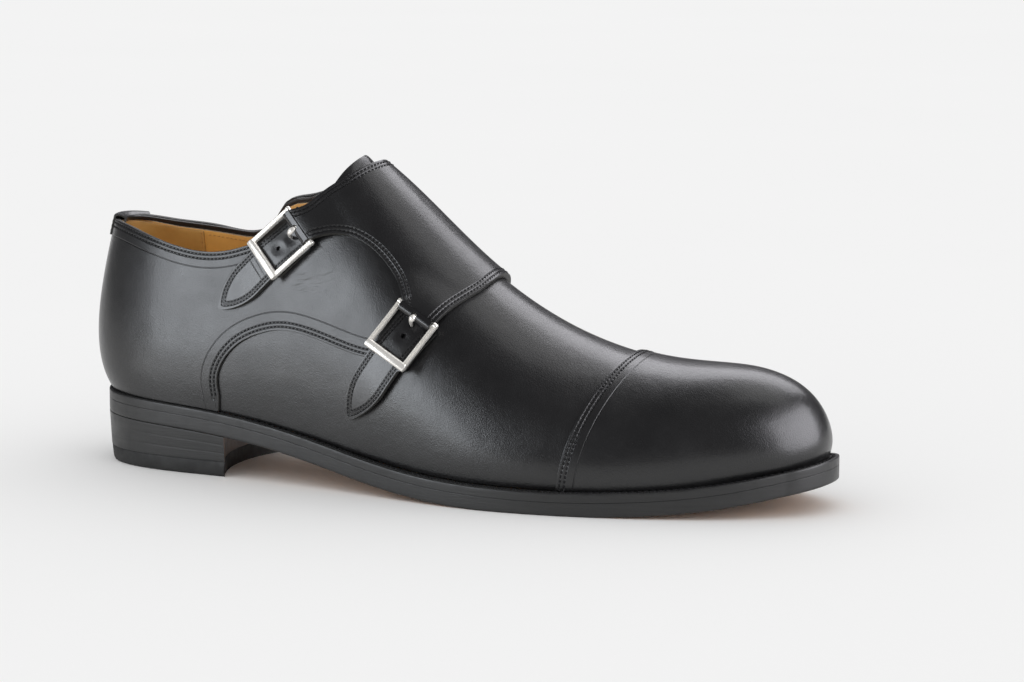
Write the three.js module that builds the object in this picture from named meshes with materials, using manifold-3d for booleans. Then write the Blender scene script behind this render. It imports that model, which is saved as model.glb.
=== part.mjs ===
// Double monk strap shoe, right foot, in millimetres. +X points to the toe, +Y to the inner (medial)
// side and +Z up. The shoe stands on its heel and forefoot, with its origin on the floor under the
// middle of its outline.
//
// The shape comes from the last: a table of half sections runs from the toe along each side to the
// heel, and every leather piece is a layer of known height on that one surface, cut to its outline.
import * as THREE from "three";
import Module from "manifold-3d";
import { mergeVertices } from "three/addons/utils/BufferGeometryUtils.js";

const wasm = await Module();
wasm.setup();

// ---- Driving dimensions -------------------------------------------------------------------------
const HEEL_TO_TOE = 294; // the last's bottom edge, from its back to its tip
const TIP_IN = 8.5; // how far the toe's tip swings to the inner side
const WALL = 2.4; // upper leather with its lining
const CAP = 1; // how far the toe cap's leather stands over the vamp
const STRAP = 2.3; // the strap panel and the billets
const TONGUE = 2; // tongue leather
const WELT = 3.2;
const OUTSOLE = 5.4;
const TOP_PIECE = 6; // the rubber lift that meets the floor
const WELT_WIDTH = 4.8; // the welt's edge past the last's edge in the forefoot
const SEAT_WIDTH = 2.6; // the same around the heel
const BREAST = 63; // the heel block's front face along the shoe
const BREAST_RADIUS = 60; // that face is hollowed to this radius
const HEEL_TAPER = 1.6; // the heel block draws in by this much at the floor
const GAP = 0.3; // clearance between pieces

// ---- The last -----------------------------------------------------------------------------------
// One row for each half section, from the middle of the toe's front edge to the back of the heel.
// foot: where the section meets the bottom edge, along the shoe and out to each side.
// top: where it ends, on the ridge of the instep or, further back, on the last's flat top, as
// [along, out on the outer side, out on the inner side, up from the bottom edge].
// rise and crown: the two handles that shape the section, at its foot and at its top, as
// [along, out, up] from the foot and [along, out, down] from the top.
const SECTIONS = [
  { foot: [284, 17, 17.5], top: [293.5, 0, 0, 0.5], rise: [6, -3.5, 0.5], crown: [0, 8.5, 0] },
  { foot: [275, 23.4, 23.6], top: [294.5, 0, 0, 9.5], rise: [9, -0.5, 6], crown: [0, 13, 1] },
  { foot: [262, 30.2, 28.8], top: [286.5, 0, 0, 25], rise: [9, 2, 14], crown: [0, 17, 0.5] },
  { foot: [243, 36.7, 34.3], top: [265, 0, 0, 37.5], rise: [7, 3, 20], crown: [0, 20, 0] },
  { foot: [216, 42.5, 38.5], top: [232, 0, 0, 42.5], rise: [4, 4, 23], crown: [0, 22, 0] },
  { foot: [186, 44.6, 37.4], top: [192, 0, 0, 54.5], rise: [1, 5, 28], crown: [0, 23, 0] },
  { foot: [156, 41.4, 30.6], top: [153, 0, 0, 78], rise: [0, 5, 38], crown: [0, 23, 0] },
  { foot: [124, 36, 24.5], top: [118, 0, 0, 103], rise: [0, 5, 48], crown: [0, 22, 1] },
  { foot: [92, 32.5, 24.5], top: [88, 5, 4, 113], rise: [0, 5, 46], crown: [0, 16, 20] },
  { foot: [62, 30.5, 27], top: [58, 11, 10, 108], rise: [-1, 4, 36], crown: [0, 9, 34] },
  { foot: [33, 29, 28.5], top: [32, 12, 12, 102], rise: [-3, 3, 30], crown: [-2, 8, 36] },
  { foot: [10, 20, 20], top: [15, 8, 8, 99], rise: [-12, 3, 20], crown: [-7, 5, 38] },
  { foot: [1.5, 0, 0], top: [9, 0, 0, 98], rise: [-15.5, 0, 17], crown: [-9, 0, 40] },
];
// The bottom edge's height above the floor on the welt, along the shoe.
const BOTTOM = [
  { along: -10, height: 29.5 },
  { along: 0, height: 29 },
  { along: 30, height: 27.8 },
  { along: 62, height: 25.4 },
  { along: 95, height: 20.6 },
  { along: 125, height: 14.6 },
  { along: 155, height: 10.4 },
  { along: 185, height: 9 },
  { along: 215, height: 9 },
  { along: 250, height: 11.2 },
  { along: 280, height: 16 },
  { along: 310, height: 23 },
];
// The centre line of the forefoot swings to the inner side towards the tip.
const swing = (along) => TIP_IN * THREE.MathUtils.smoothstep(along, 120, HEEL_TO_TOE);
const LAST_ROW = SECTIONS.length - 1; // the row at the back of the heel
const RIDGE_ROW = 7; // up to this row the two halves of a section meet on the instep's ridge
const OUTER = -1;
const INNER = 1;

// A natural cubic spline through evenly spaced rows, as a function of the row number.
function spline(values) {
  const n = values.length - 1;
  const bend = new Array(n + 1).fill(0);
  const pivot = [0];
  for (let i = 1; i < n; i++) {
    const pull = 6 * (values[i + 1] - 2 * values[i] + values[i - 1]);
    pivot[i] = 1 / (4 - pivot[i - 1]);
    bend[i] = (pull - bend[i - 1]) * pivot[i];
  }
  for (let i = n - 2; i > 0; i--) bend[i] -= pivot[i] * bend[i + 1];
  return (row) => {
    const i = Math.min(n - 1, Math.max(0, Math.floor(row)));
    const b = row - i;
    const a = 1 - b;
    return a * values[i] + b * values[i + 1] + ((a ** 3 - a) * bend[i] + (b ** 3 - b) * bend[i + 1]) / 6;
  };
}

// A smooth curve through the rows of a table, as a function of one of its columns.
function curve(rows, at, column) {
  const along = spline(rows.map((r) => r[at]));
  const value = spline(rows.map((r) => r[column]));
  return (x) => {
    let low = 0;
    let high = rows.length - 1;
    for (let i = 0; i < 30; i++) {
      const middle = (low + high) / 2;
      if (along(middle) < x) low = middle;
      else high = middle;
    }
    return value((low + high) / 2);
  };
}
const bottomHeight = curve(BOTTOM, "along", "height");

// The four points of one half section's curve, as along, out from the centre line and up.
function halfSection({ foot, top, rise, crown }, side) {
  const footOut = foot[side === OUTER ? 1 : 2];
  const topOut = top[side === OUTER ? 1 : 2];
  const footUp = bottomHeight(foot[0]);
  const topUp = bottomHeight(top[0]) + top[3];
  return [
    [foot[0], side * footOut, footUp],
    [foot[0] + rise[0], side * (footOut + rise[1]), footUp + rise[2]],
    [top[0] + crown[0], side * (topOut + crown[1]), topUp - crown[2]],
    [top[0], side * topOut, topUp],
  ];
}
// The half sections in one run: out along the outer side to the heel and back along the inner side.
const RUN_END = 2 * LAST_ROW;
const run = [
  ...SECTIONS.map((s) => halfSection(s, OUTER)),
  ...SECTIONS.slice(0, -1).reverse().map((s) => halfSection(s, INNER)),
];
const handles = [0, 1, 2, 3].map((p) => [0, 1, 2].map((axis) => spline(run.map((s) => s[p][axis]))));
const fromToe = (row) => Math.min(row, RUN_END - row);

// A point of the last: row from 0 to RUN_END, height from 0 at the foot to 1 at the top.
function lastPoint(row, height) {
  const b = height;
  const a = 1 - b;
  const weights = [a ** 3, 3 * a * a * b, 3 * a * b * b, b ** 3];
  const at = new THREE.Vector3();
  handles.forEach(([along, out, up], p) => {
    const onRidge = p === 3 && fromToe(row) <= RIDGE_ROW;
    const x = along(row);
    const y = swing(x) + (onRidge ? 0 : out(row));
    at.add(new THREE.Vector3(x, y, up(row)).multiplyScalar(weights[p]));
  });
  return at;
}

// The last's outward direction at a point, from two short steps on its surface.
function lastNormal(row, height) {
  const STEP = 1e-3;
  const ahead = lastPoint(Math.min(row + STEP, RUN_END), height);
  const along = ahead.sub(lastPoint(Math.max(row - STEP, 0), height));
  const up = lastPoint(row, Math.min(height + STEP, 1)).sub(lastPoint(row, Math.max(height - STEP, 0)));
  return up.cross(along).normalize();
}

// A point that stands off the last by the given height. Both halves share their points on the ridge.
function offLast(row, height, standing) {
  const shared = height === 1 && fromToe(row) <= RIDGE_ROW;
  const r = shared ? fromToe(row) : row;
  return lastPoint(r, height).addScaledVector(lastNormal(r, height), standing);
}

// ---- Solids -------------------------------------------------------------------------------------
// A closed mesh from loose triangles, each given as three points.
function solidOf(triangles) {
  const loose = new THREE.BufferGeometry().setFromPoints(triangles.flat());
  const merged = mergeVertices(loose, 1e-4);
  const index = merged.index.array;
  const kept = [];
  for (let i = 0; i < index.length; i += 3) {
    const [a, b, c] = index.slice(i, i + 3);
    if (a !== b && b !== c && c !== a) kept.push(a, b, c);
  }
  return bodyOf(merged.attributes.position.array, kept);
}

// A manifold-3d solid from vertices and triangles, turned to face out.
function bodyOf(vertProperties, triangles) {
  const make = (triVerts) => new wasm.Manifold(new wasm.Mesh({ numProp: 3, vertProperties, triVerts }));
  const made = make(new Uint32Array(triangles));
  if (made.volume() > 0) return made;
  const turned = [];
  for (let i = 0; i < triangles.length; i += 3) turned.push(triangles[i], triangles[i + 2], triangles[i + 1]);
  return make(new Uint32Array(turned));
}

// The solid of a closed three.js geometry.
function fromGeometry(geometry) {
  geometry.deleteAttribute("normal");
  geometry.deleteAttribute("uv");
  const merged = mergeVertices(geometry, 1e-4);
  return bodyOf(merged.attributes.position.array, [...merged.index.array]);
}

// The two triangles of a four-cornered face.
const quad = (a, b, c, d) => [[a, b, c], [a, c, d]];

// A closed solid between two grids of the same size, over[i][j] and under[i][j]. welded says
// which cells of the grid's last column have no edge of their own.
function between(over, under, welded = () => false) {
  const rows = over.length - 1;
  const columns = over[0].length - 1;
  const faces = [];
  for (let i = 0; i < rows; i++) {
    for (let j = 0; j < columns; j++) {
      faces.push(...quad(over[i][j], over[i][j + 1], over[i + 1][j + 1], over[i + 1][j]));
      faces.push(...quad(under[i][j], under[i + 1][j], under[i + 1][j + 1], under[i][j + 1]));
    }
    faces.push(...quad(over[i][0], over[i + 1][0], under[i + 1][0], under[i][0]));
    if (welded(i)) continue;
    faces.push(...quad(over[i][columns], under[i][columns], under[i + 1][columns], over[i + 1][columns]));
  }
  for (let j = 0; j < columns; j++) {
    faces.push(...quad(over[0][j], under[0][j], under[0][j + 1], over[0][j + 1]));
    faces.push(...quad(over[rows][j], over[rows][j + 1], under[rows][j + 1], under[rows][j]));
  }
  return solidOf(faces);
}

// Evenly spaced values from one number to another.
function steps(from, to, count) {
  return Array.from({ length: count + 1 }, (_, i) => from + ((to - from) * i) / count);
}

// A layer that wraps over the instep from a height on the outer side to the same on the inner side.
function wrap({ rows, heights, from, to }) {
  const across = [
    ...heights.map((height) => ({ height, side: OUTER })),
    ...[...heights].reverse().map((height) => ({ height, side: INNER })),
  ];
  const rowOn = (side, row) => (side === OUTER ? row : RUN_END - row);
  const line = (row, standing) =>
    across.map(({ height, side }) => offLast(rowOn(side, row), height, standing));
  const sheet = (standing) => rows.map((row) => line(row, standing));
  return between(sheet(to), sheet(from));
}

// A layer on the outer side only.
function patch({ rows, heights, from, to }) {
  const sheet = (standing) => rows.map((row) => heights.map((height) => offLast(row, height, standing)));
  return between(sheet(to), sheet(from));
}

// A prism of a closed outline drawn in the side view, as [along, up], between two values of y.
function sidePrism(shape, from, to, segments = 6) {
  const options = { depth: to - from, bevelEnabled: false, curveSegments: segments };
  const geometry = new THREE.ExtrudeGeometry(shape, options);
  geometry.rotateX(Math.PI / 2);
  geometry.translate(0, to, 0);
  return fromGeometry(geometry);
}

// ---- The upper ----------------------------------------------------------------------------------
// The opening's edge on the run of half sections: closed on the vamp, then the throat under the
// strap panel, the collar around the heel, and the inner quarter's rise to the panel.
const OPENING = [
  { row: 6, height: 1 },
  { row: 6.3, height: 0.88 },
  { row: 7, height: 0.72 },
  { row: 7.7, height: 0.63 },
  { row: 8.4, height: 0.57 },
  { row: 9, height: 0.56 },
  { row: 9.8, height: 0.61 },
  { row: 10.5, height: 0.68 },
  { row: 11.2, height: 0.725 },
  { row: 12, height: 0.735 },
  { row: 12.8, height: 0.725 },
  { row: 13.5, height: 0.67 },
  { row: 14.2, height: 0.625 },
  { row: 14.8, height: 0.595 },
  { row: 15, height: 0.62 },
  { row: 15.25, height: 0.67 },
  { row: 15.6, height: 0.68 },
  { row: 16.4, height: 0.7 },
  { row: 17.2, height: 0.78 },
  { row: 17.7, height: 0.88 },
  { row: 18, height: 1 },
];
function openingHeight(row) {
  const next = OPENING.findIndex((o) => o.row >= row);
  if (next <= 0) return 1;
  const a = OPENING[next - 1];
  const b = OPENING[next];
  return THREE.MathUtils.mapLinear(row, a.row, b.row, a.height, b.height);
}
function upperSolid() {
  const ROWS = 60;
  const HEIGHTS = 10;
  const rows = [...steps(0, RUN_END, ROWS), ...OPENING.map((o) => o.row)];
  const sorted = [...new Set(rows.map((r) => Math.round(r * 100) / 100))].sort((a, b) => a - b);
  const stated = (row) => OPENING.some((o) => o.row === row);
  const kept = sorted.filter((r, i) => i === 0 || r - sorted[i - 1] > 0.06 || stated(r));
  const line = (row, standing) =>
    steps(0, 1, HEIGHTS).map((share) => offLast(row, share * openingHeight(row), standing));
  const sheet = (standing) => kept.map((row) => line(row, standing));
  return between(sheet(0), sheet(-WALL), (i) => fromToe(kept[i]) <= 6 && fromToe(kept[i + 1]) <= 6);
}

// The toe cap covers the vamp up to one section of the last.
function toeCapSolid() {
  const CAP_ROW = 4.3;
  const layer = wrap({ rows: steps(0, CAP_ROW, 11), heights: steps(0, 1, 10), from: GAP, to: GAP + CAP });
  const CLEAR = 8; // the trimming plate reaches this far past the last's edge
  return layer.subtract(plate(outline(CLEAR, CLEAR), (x) => weltTop(x) + 2 * GAP, () => -1));
}

// The tongue lies under the throat and ends in a rounded top above the panel's edge.
function tongueSolid() {
  const ROOM = 0.9; // the throat's lining hangs a little clear of the tongue
  const top = -WALL - ROOM;
  const layer = wrap({ rows: steps(5.6, 8, 12), heights: steps(0.65, 1, 7), from: top - TONGUE, to: top });
  const side = new THREE.Shape();
  side.moveTo(170, 60);
  side.lineTo(144, 68);
  side.lineTo(103, 100);
  side.quadraticCurveTo(100, 112, 106, 122);
  side.quadraticCurveTo(108, 128, 118, 130);
  side.lineTo(170, 100);
  return layer.intersect(sidePrism(side, -60, 60));
}

// ---- The sole -----------------------------------------------------------------------------------
// The last's bottom edge in plan, with the toe's front edge, as a closed list of points.
function lastEdge() {
  const around = steps(0, RUN_END, 96).map((row) => lastPoint(row, 0));
  const front = [
    ...steps(0, 1, 12).slice(1).map((h) => lastPoint(RUN_END, h)),
    ...steps(1, 0, 12).slice(1, -1).map((h) => lastPoint(0, h)),
  ];
  return [...around, ...front];
}
const EDGE = lastEdge();
// How far an edge point stands out from the last's edge: narrow at the heel, full from the ball on.
function edgeWidth(along, heel, fore) {
  return THREE.MathUtils.lerp(heel, fore, THREE.MathUtils.smoothstep(along, 70, 170));
}
// The last's edge in plan, set out by a width at the heel and another in the forefoot.
function outline(heel, fore) {
  return EDGE.map((p, i) => {
    const before = EDGE.at(i - 1);
    const after = EDGE[(i + 1) % EDGE.length];
    const out = new THREE.Vector2(after.y - before.y, before.x - after.x).normalize();
    const width = edgeWidth(p.x, heel, fore);
    return new THREE.Vector2(p.x - out.x * width, p.y - out.y * width);
  });
}
// Where a closed outline crosses one place along the shoe: its least and greatest y.
function crossing(points, along) {
  const hits = [];
  points.forEach((a, i) => {
    const b = points[(i + 1) % points.length];
    if (a.x > along === b.x > along) return;
    hits.push(THREE.MathUtils.mapLinear(along, a.x, b.x, a.y, b.y));
  });
  return [Math.min(...hits), Math.max(...hits)];
}
// A plate of an outline in plan, whose two faces are heights along the shoe. It may stop short of the toe.
function plate(points, over, under, stop = Infinity) {
  const count = 44;
  const xs = points.map((p) => p.x);
  const from = Math.min(...xs) + 0.05;
  const to = Math.min(Math.max(...xs) - 0.05, stop);
  const middle = (from + to) / 2;
  const stations = steps(0, Math.PI, count).map((turn) => middle - (Math.cos(turn) * (to - from)) / 2);
  const sheet = (height) =>
    stations.map((x) => crossing(points, x).map((y) => new THREE.Vector3(x, y, height(x))));
  return between(sheet(over), sheet(under));
}
const weltTop = (x) => bottomHeight(x) - GAP;
const weltUnder = (x) => weltTop(x) - WELT;
const soleTop = (x) => weltUnder(x) - GAP;
const soleUnder = (x) => Math.max(0, soleTop(x) - OUTSOLE);
const stackTop = (x) => soleTop(x) - OUTSOLE - GAP;

// The welt is a strip around the shoe, open under the foot.
function weltSolid() {
  const INSIDE = -WALL - 2 * GAP;
  const strip = plate(outline(SEAT_WIDTH, WELT_WIDTH), weltTop, weltUnder);
  const open = plate(outline(INSIDE, INSIDE), (x) => weltTop(x) + 1, (x) => weltUnder(x) - 1);
  return strip.subtract(open);
}
// The insole with its cork filler closes the welt's opening and shows inside the shoe.
function insoleSolid() {
  const INSIDE = -WALL - 3 * GAP;
  const OVER_WELT = 2.5;
  return plate(outline(INSIDE, INSIDE), (x) => weltTop(x) + OVER_WELT, weltUnder);
}
function outsoleSolid() {
  return plate(outline(SEAT_WIDTH, WELT_WIDTH), soleTop, soleUnder);
}
// A level of the heel block between two heights, with its hollowed breast.
function heelSolid(over, under, draw) {
  const block = plate(outline(SEAT_WIDTH - draw, SEAT_WIDTH - draw), over, under, BREAST + 12);
  const front = new THREE.Shape();
  front.moveTo(BREAST + 8, -90);
  front.lineTo(400, -90);
  front.lineTo(400, 90);
  front.lineTo(BREAST + 8, 90);
  front.absarc(BREAST - 8 + BREAST_RADIUS, 0, BREAST_RADIUS, Math.PI - 0.75, Math.PI + 0.75, false);
  const cut = new THREE.ExtrudeGeometry(front, { depth: 60, bevelEnabled: false, curveSegments: 10 });
  cut.translate(0, 0, -10);
  return block.subtract(fromGeometry(cut));
}

// ---- The strap panel ----------------------------------------------------------------------------
// The inner quarter runs on over the instep as a panel and parts into two straps on the outer side.
function panelOutline() {
  const outer = new THREE.Shape();
  outer.moveTo(117, 140);
  outer.lineTo(117, 121);
  outer.quadraticCurveTo(104, 110.5, 88.2, 105.8);
  outer.lineTo(103.5, 95.6);
  outer.quadraticCurveTo(116, 98.5, 127, 91.2);
  outer.quadraticCurveTo(139.5, 84, 141.2, 73.8);
  outer.lineTo(156.8, 66.6);
  outer.quadraticCurveTo(161, 75.5, 167, 79);
  outer.lineTo(167, 140);
  return outer;
}
function innerOutline() {
  const inner = new THREE.Shape();
  inner.moveTo(117, 140);
  inner.lineTo(117, 121);
  inner.quadraticCurveTo(104, 111, 77, 105);
  inner.lineTo(70, 103);
  inner.quadraticCurveTo(96, 70, 142, 46);
  inner.quadraticCurveTo(156, 60, 167, 79);
  inner.lineTo(167, 140);
  return inner;
}
const STANDING = GAP + STRAP; // the straps' outer face over the last
function panelSolid() {
  const layer = wrap({ rows: steps(5.2, 8.8, 18), heights: steps(0.2, 1, 16), from: GAP, to: STANDING });
  const outer = sidePrism(panelOutline(), -80, 2);
  const inner = sidePrism(innerOutline(), 2, 80);
  let panel = layer.intersect(outer.add(inner));
  BUCKLES.forEach((buckle) => {
    panel = panel.add(rollSolid(buckle)).subtract(barSolid(buckle, GAP)).subtract(slotSolid(buckle));
  });
  return panel;
}

// ---- Buckles, billets and prongs ----------------------------------------------------------------
// Each buckle sits flat on the outer side. row and height place its middle on the last, and slope
// is its strap's climb towards the panel, in degrees in the side view.
const BUCKLES = [
  { name: "upper", row: 8.04, height: 0.533, slope: 46, long: 19.5, wide: 17 },
  { name: "lower", row: 6.36, height: 0.398, slope: 60, long: 19.5, wide: 17 },
];
const OUTER_BAR = { deep: 3, thick: 2.6 };
const SIDE_BAR = { deep: 1.8, thick: 1.8 };
const INNER_BAR = 0.8; // radius
const ROLL = 2.5; // radius of the leather roll around the inner bar
const FRAME_UP = 4.3; // middle of the frame over the last
const BILLET = { width: 13.5, end: 37, from: 7 }; // from and end are measured from the buckle's middle
const HOLE = 1.3; // radius of a punched hole

// A buckle's own frame: x along its strap to the panel, y across it, z out of the shoe.
function seat({ row, height, slope }) {
  const out = lastNormal(row, height);
  const turn = THREE.MathUtils.degToRad(slope);
  const along = new THREE.Vector3(Math.cos(turn), 0, Math.sin(turn));
  along.addScaledVector(out, -along.dot(out)).normalize();
  const across = new THREE.Vector3().crossVectors(out, along);
  return new THREE.Matrix4().makeBasis(along, across, out).setPosition(lastPoint(row, height));
}
const seated = (geometry, buckle) => fromGeometry(geometry.applyMatrix4(seat(buckle)));

// A round bar across the buckle at a place along it.
function crossBar(radius, width, along, up) {
  return new THREE.CylinderGeometry(radius, radius, width, 12).translate(along, 0, up);
}
function barSolid(buckle, room) {
  return seated(crossBar(INNER_BAR + room, buckle.wide - 1, buckle.long / 2, FRAME_UP), buckle);
}
function rollSolid(buckle) {
  const width = buckle.wide - SIDE_BAR.deep - 2 * GAP;
  return seated(crossBar(ROLL, width, buckle.long / 2, FRAME_UP - 0.6), buckle);
}
// The slot in the roll that lets the prong out.
function slotSolid(buckle) {
  const slot = new THREE.BoxGeometry(2 * ROLL, 2.6, 2 * ROLL);
  return seated(slot.translate(buckle.long / 2 - ROLL, 0, FRAME_UP + 1), buckle);
}
function buckleSolid(buckle) {
  const { long, wide } = buckle;
  const outer = new THREE.CylinderGeometry(OUTER_BAR.deep / 2, OUTER_BAR.deep / 2, wide + SIDE_BAR.deep, 14);
  outer.scale(1, 1, OUTER_BAR.thick / OUTER_BAR.deep).translate(-long / 2, 0, FRAME_UP);
  let frame = seated(outer, buckle).add(barSolid(buckle, 0));
  [OUTER, INNER].forEach((side) => {
    const bar = new THREE.BoxGeometry(long + SIDE_BAR.deep, SIDE_BAR.deep, SIDE_BAR.thick);
    frame = frame.add(seated(bar.translate(0, (side * wide) / 2, FRAME_UP), buckle));
  });
  return frame;
}
// A prong leans from the roll's slot into the billet's first hole.
function prongSolid(buckle) {
  const start = new THREE.Vector3(buckle.long / 2 - INNER_BAR - 2 * GAP, 0, FRAME_UP + 0.9);
  const end = new THREE.Vector3(buckle.long / 2 - 6.6, 0, 2);
  const path = new THREE.QuadraticBezierCurve3(start, new THREE.Vector3(end.x + 1, 0, start.z), end);
  const section = new THREE.Shape().absarc(0, 0, 0.75, 0, 2 * Math.PI, false);
  const options = { steps: 8, extrudePath: path, curveSegments: 5 };
  return seated(new THREE.ExtrudeGeometry(section, options), buckle);
}
// A billet is a pointed strap that runs under the buckle, with a hole for the prong and a spare.
function billetSolid(buckle) {
  const half = BILLET.width / 2;
  const tip = new THREE.Shape();
  tip.moveTo(BILLET.from - 0.5, -half);
  tip.lineTo(BILLET.from - 0.5, half);
  tip.lineTo(-BILLET.end + 13, half - 0.3);
  tip.quadraticCurveTo(-BILLET.end + 4, half - 1, -BILLET.end, 0);
  tip.quadraticCurveTo(-BILLET.end + 4, 1 - half, -BILLET.end + 13, 0.3 - half);
  const prism = new THREE.ExtrudeGeometry(tip, { depth: 30, bevelEnabled: false, curveSegments: 6 });
  const layer = patch({
    rows: steps(buckle.row - 1.4, buckle.row + 1.4, 10),
    heights: steps(Math.max(0.03, buckle.height - 0.4), buckle.height + 0.2, 10),
    from: GAP,
    to: STANDING,
  });
  let billet = layer.intersect(seated(prism.translate(0, 0, -15), buckle));
  [buckle.long / 2 - 6.8, -2].forEach((along) => {
    const punch = new THREE.CylinderGeometry(HOLE, HOLE, 20, 10).rotateX(Math.PI / 2);
    billet = billet.subtract(seated(punch.translate(along, 0, 0), buckle));
  });
  return billet;
}

// ---- Assembly -----------------------------------------------------------------------------------
const leather = new THREE.MeshStandardMaterial({ color: 0x141416, roughness: 0.3, metalness: 0 });
const soleEdge = new THREE.MeshStandardMaterial({ color: 0x1f1f20, roughness: 0.6, metalness: 0 });
const rubber = new THREE.MeshStandardMaterial({ color: 0x262626, roughness: 0.9, metalness: 0 });
const tan = new THREE.MeshStandardMaterial({ color: 0xb98a4a, roughness: 0.7, metalness: 0 });
const nickel = new THREE.MeshStandardMaterial({ color: 0xd8d8d8, roughness: 0.2, metalness: 1 });

const shoe = new THREE.Group();
// Adds one named piece to the shoe from its solid.
function add(name, solid, material) {
  const { vertProperties, triVerts } = solid.getMesh();
  const geometry = new THREE.BufferGeometry();
  geometry.setAttribute("position", new THREE.BufferAttribute(vertProperties, 3));
  geometry.setIndex(new THREE.BufferAttribute(triVerts, 1));
  geometry.computeVertexNormals();
  const mesh = new THREE.Mesh(geometry, material);
  mesh.name = name;
  shoe.add(mesh);
}
add("upper", upperSolid(), leather);
add("toe_cap", toeCapSolid(), leather);
add("tongue", tongueSolid(), leather);
add("strap_panel", panelSolid(), leather);
add("insole", insoleSolid(), tan);
add("welt", weltSolid(), soleEdge);
add("outsole", outsoleSolid(), soleEdge);
const seamHeight = () => TOP_PIECE + GAP;
add("heel_stack", heelSolid(stackTop, seamHeight, HEEL_TAPER / 2), soleEdge);
add("top_piece", heelSolid(() => TOP_PIECE, () => 0, HEEL_TAPER), rubber);
BUCKLES.forEach((buckle) => {
  add(`${buckle.name}_billet`, billetSolid(buckle), leather);
  add(`${buckle.name}_buckle`, buckleSolid(buckle), nickel);
  add(`${buckle.name}_prong`, prongSolid(buckle), nickel);
});

// The origin is on the floor under the middle of the shoe's outline.
const middle = new THREE.Box3().setFromObject(shoe).getCenter(new THREE.Vector3());
shoe.position.set(-middle.x, -middle.y, 0);
const part = new THREE.Group();
part.add(shoe);
export default part;
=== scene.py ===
import math

import bpy
import numpy as np
from mathutils import Matrix, Vector


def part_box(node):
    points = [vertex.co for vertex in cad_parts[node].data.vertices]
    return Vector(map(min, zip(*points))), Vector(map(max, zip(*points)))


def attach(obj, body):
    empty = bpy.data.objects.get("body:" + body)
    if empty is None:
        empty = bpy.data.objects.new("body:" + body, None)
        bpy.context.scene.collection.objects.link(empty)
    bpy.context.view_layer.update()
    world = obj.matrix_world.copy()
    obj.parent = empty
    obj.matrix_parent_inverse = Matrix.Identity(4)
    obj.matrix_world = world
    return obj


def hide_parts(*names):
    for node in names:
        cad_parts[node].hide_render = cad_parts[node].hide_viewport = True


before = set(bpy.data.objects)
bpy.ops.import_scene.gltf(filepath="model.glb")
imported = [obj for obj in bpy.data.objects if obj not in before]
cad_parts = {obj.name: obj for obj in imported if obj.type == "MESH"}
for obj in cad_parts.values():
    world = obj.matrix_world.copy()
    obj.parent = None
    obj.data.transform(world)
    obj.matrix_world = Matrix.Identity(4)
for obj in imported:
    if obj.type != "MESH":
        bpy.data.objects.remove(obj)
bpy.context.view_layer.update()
bpy.ops.object.select_all(action="DESELECT")

# ---- The last ----
# The wooden last under the leather, which shows nowhere. A half section for each row runs from the
# toe round to the heel, and every leather piece is laid on this one surface. Sizes here and in each
# section are in millimetres, and placed() turns them into metres in the shoe's frame.
MM = 0.001
TOE_TIP = 294.0
TIP_IN = 8.5  # how far the toe swings to the inner side
# foot [along, outer, inner], top [along, outer, inner, up], rise [along, out, up], crown [along, out, down]
SECTIONS = [
    ((284, 17, 17.5), (293.5, 0, 0, 0.5), (6, -3.5, 0.5), (0, 8.5, 0)),
    ((275, 23.4, 23.6), (294.5, 0, 0, 9.5), (9, -0.5, 6), (0, 13, 1)),
    ((262, 30.2, 28.8), (286.5, 0, 0, 25), (9, 2, 14), (0, 17, 0.5)),
    ((243, 36.7, 34.3), (265, 0, 0, 37.5), (7, 3, 20), (0, 20, 0)),
    ((216, 42.5, 38.5), (232, 0, 0, 42.5), (4, 4, 23), (0, 22, 0)),
    ((186, 44.6, 37.4), (192, 0, 0, 54.5), (1, 5, 28), (0, 23, 0)),
    ((156, 41.4, 30.6), (153, 0, 0, 78), (0, 5, 38), (0, 23, 0)),
    ((124, 36, 24.5), (118, 0, 0, 103), (0, 5, 48), (0, 22, 1)),
    ((92, 32.5, 24.5), (88, 5, 4, 113), (0, 5, 46), (0, 16, 20)),
    ((62, 30.5, 27), (58, 11, 10, 108), (-1, 4, 36), (0, 9, 34)),
    ((33, 29, 28.5), (32, 12, 12, 102), (-3, 3, 30), (-2, 8, 36)),
    ((10, 20, 20), (15, 8, 8, 99), (-12, 3, 20), (-7, 5, 38)),
    ((1.5, 0, 0), (9, 0, 0, 98), (-15.5, 0, 17), (-9, 0, 40)),
]
# The bottom edge's height along the shoe.
BOTTOM_ALONG = (-10, 0, 30, 62, 95, 125, 155, 185, 215, 250, 280, 310)
BOTTOM_UP = (29.5, 29, 27.8, 25.4, 20.6, 14.6, 10.4, 9, 9, 11.2, 16, 23)
HEEL_ROW = len(SECTIONS) - 1
RUN_END = 2 * HEEL_ROW
RIDGE_ROW = 7  # up to this row both halves of a section meet on the instep's ridge


def spline(knots, values):
    """A natural cubic spline through values at the knots."""
    knots, values = np.asarray(knots, float), np.asarray(values, float)
    gap, count = np.diff(knots), len(knots)
    system, pull = np.eye(count), np.zeros_like(values)
    for i in range(1, count - 1):
        system[i, i - 1 : i + 2] = gap[i - 1], 2 * (gap[i - 1] + gap[i]), gap[i]
        pull[i] = 6 * ((values[i + 1] - values[i]) / gap[i] - (values[i] - values[i - 1]) / gap[i - 1])
    bend = np.linalg.solve(system, pull.reshape(count, -1)).reshape(values.shape)

    def at(t):
        t = np.asarray(t, float)
        i = np.clip(np.searchsorted(knots, t, side="right") - 1, 0, count - 2)
        shape = t.shape + (1,) * (values.ndim - 1)
        width = gap[i].reshape(shape)
        b = ((t - knots[i]) / gap[i]).reshape(shape)
        a = 1 - b
        curved = (a**3 - a) * bend[i] + (b**3 - b) * bend[i + 1]
        return a * values[i] + b * values[i + 1] + curved * width**2 / 6

    return at


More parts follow.
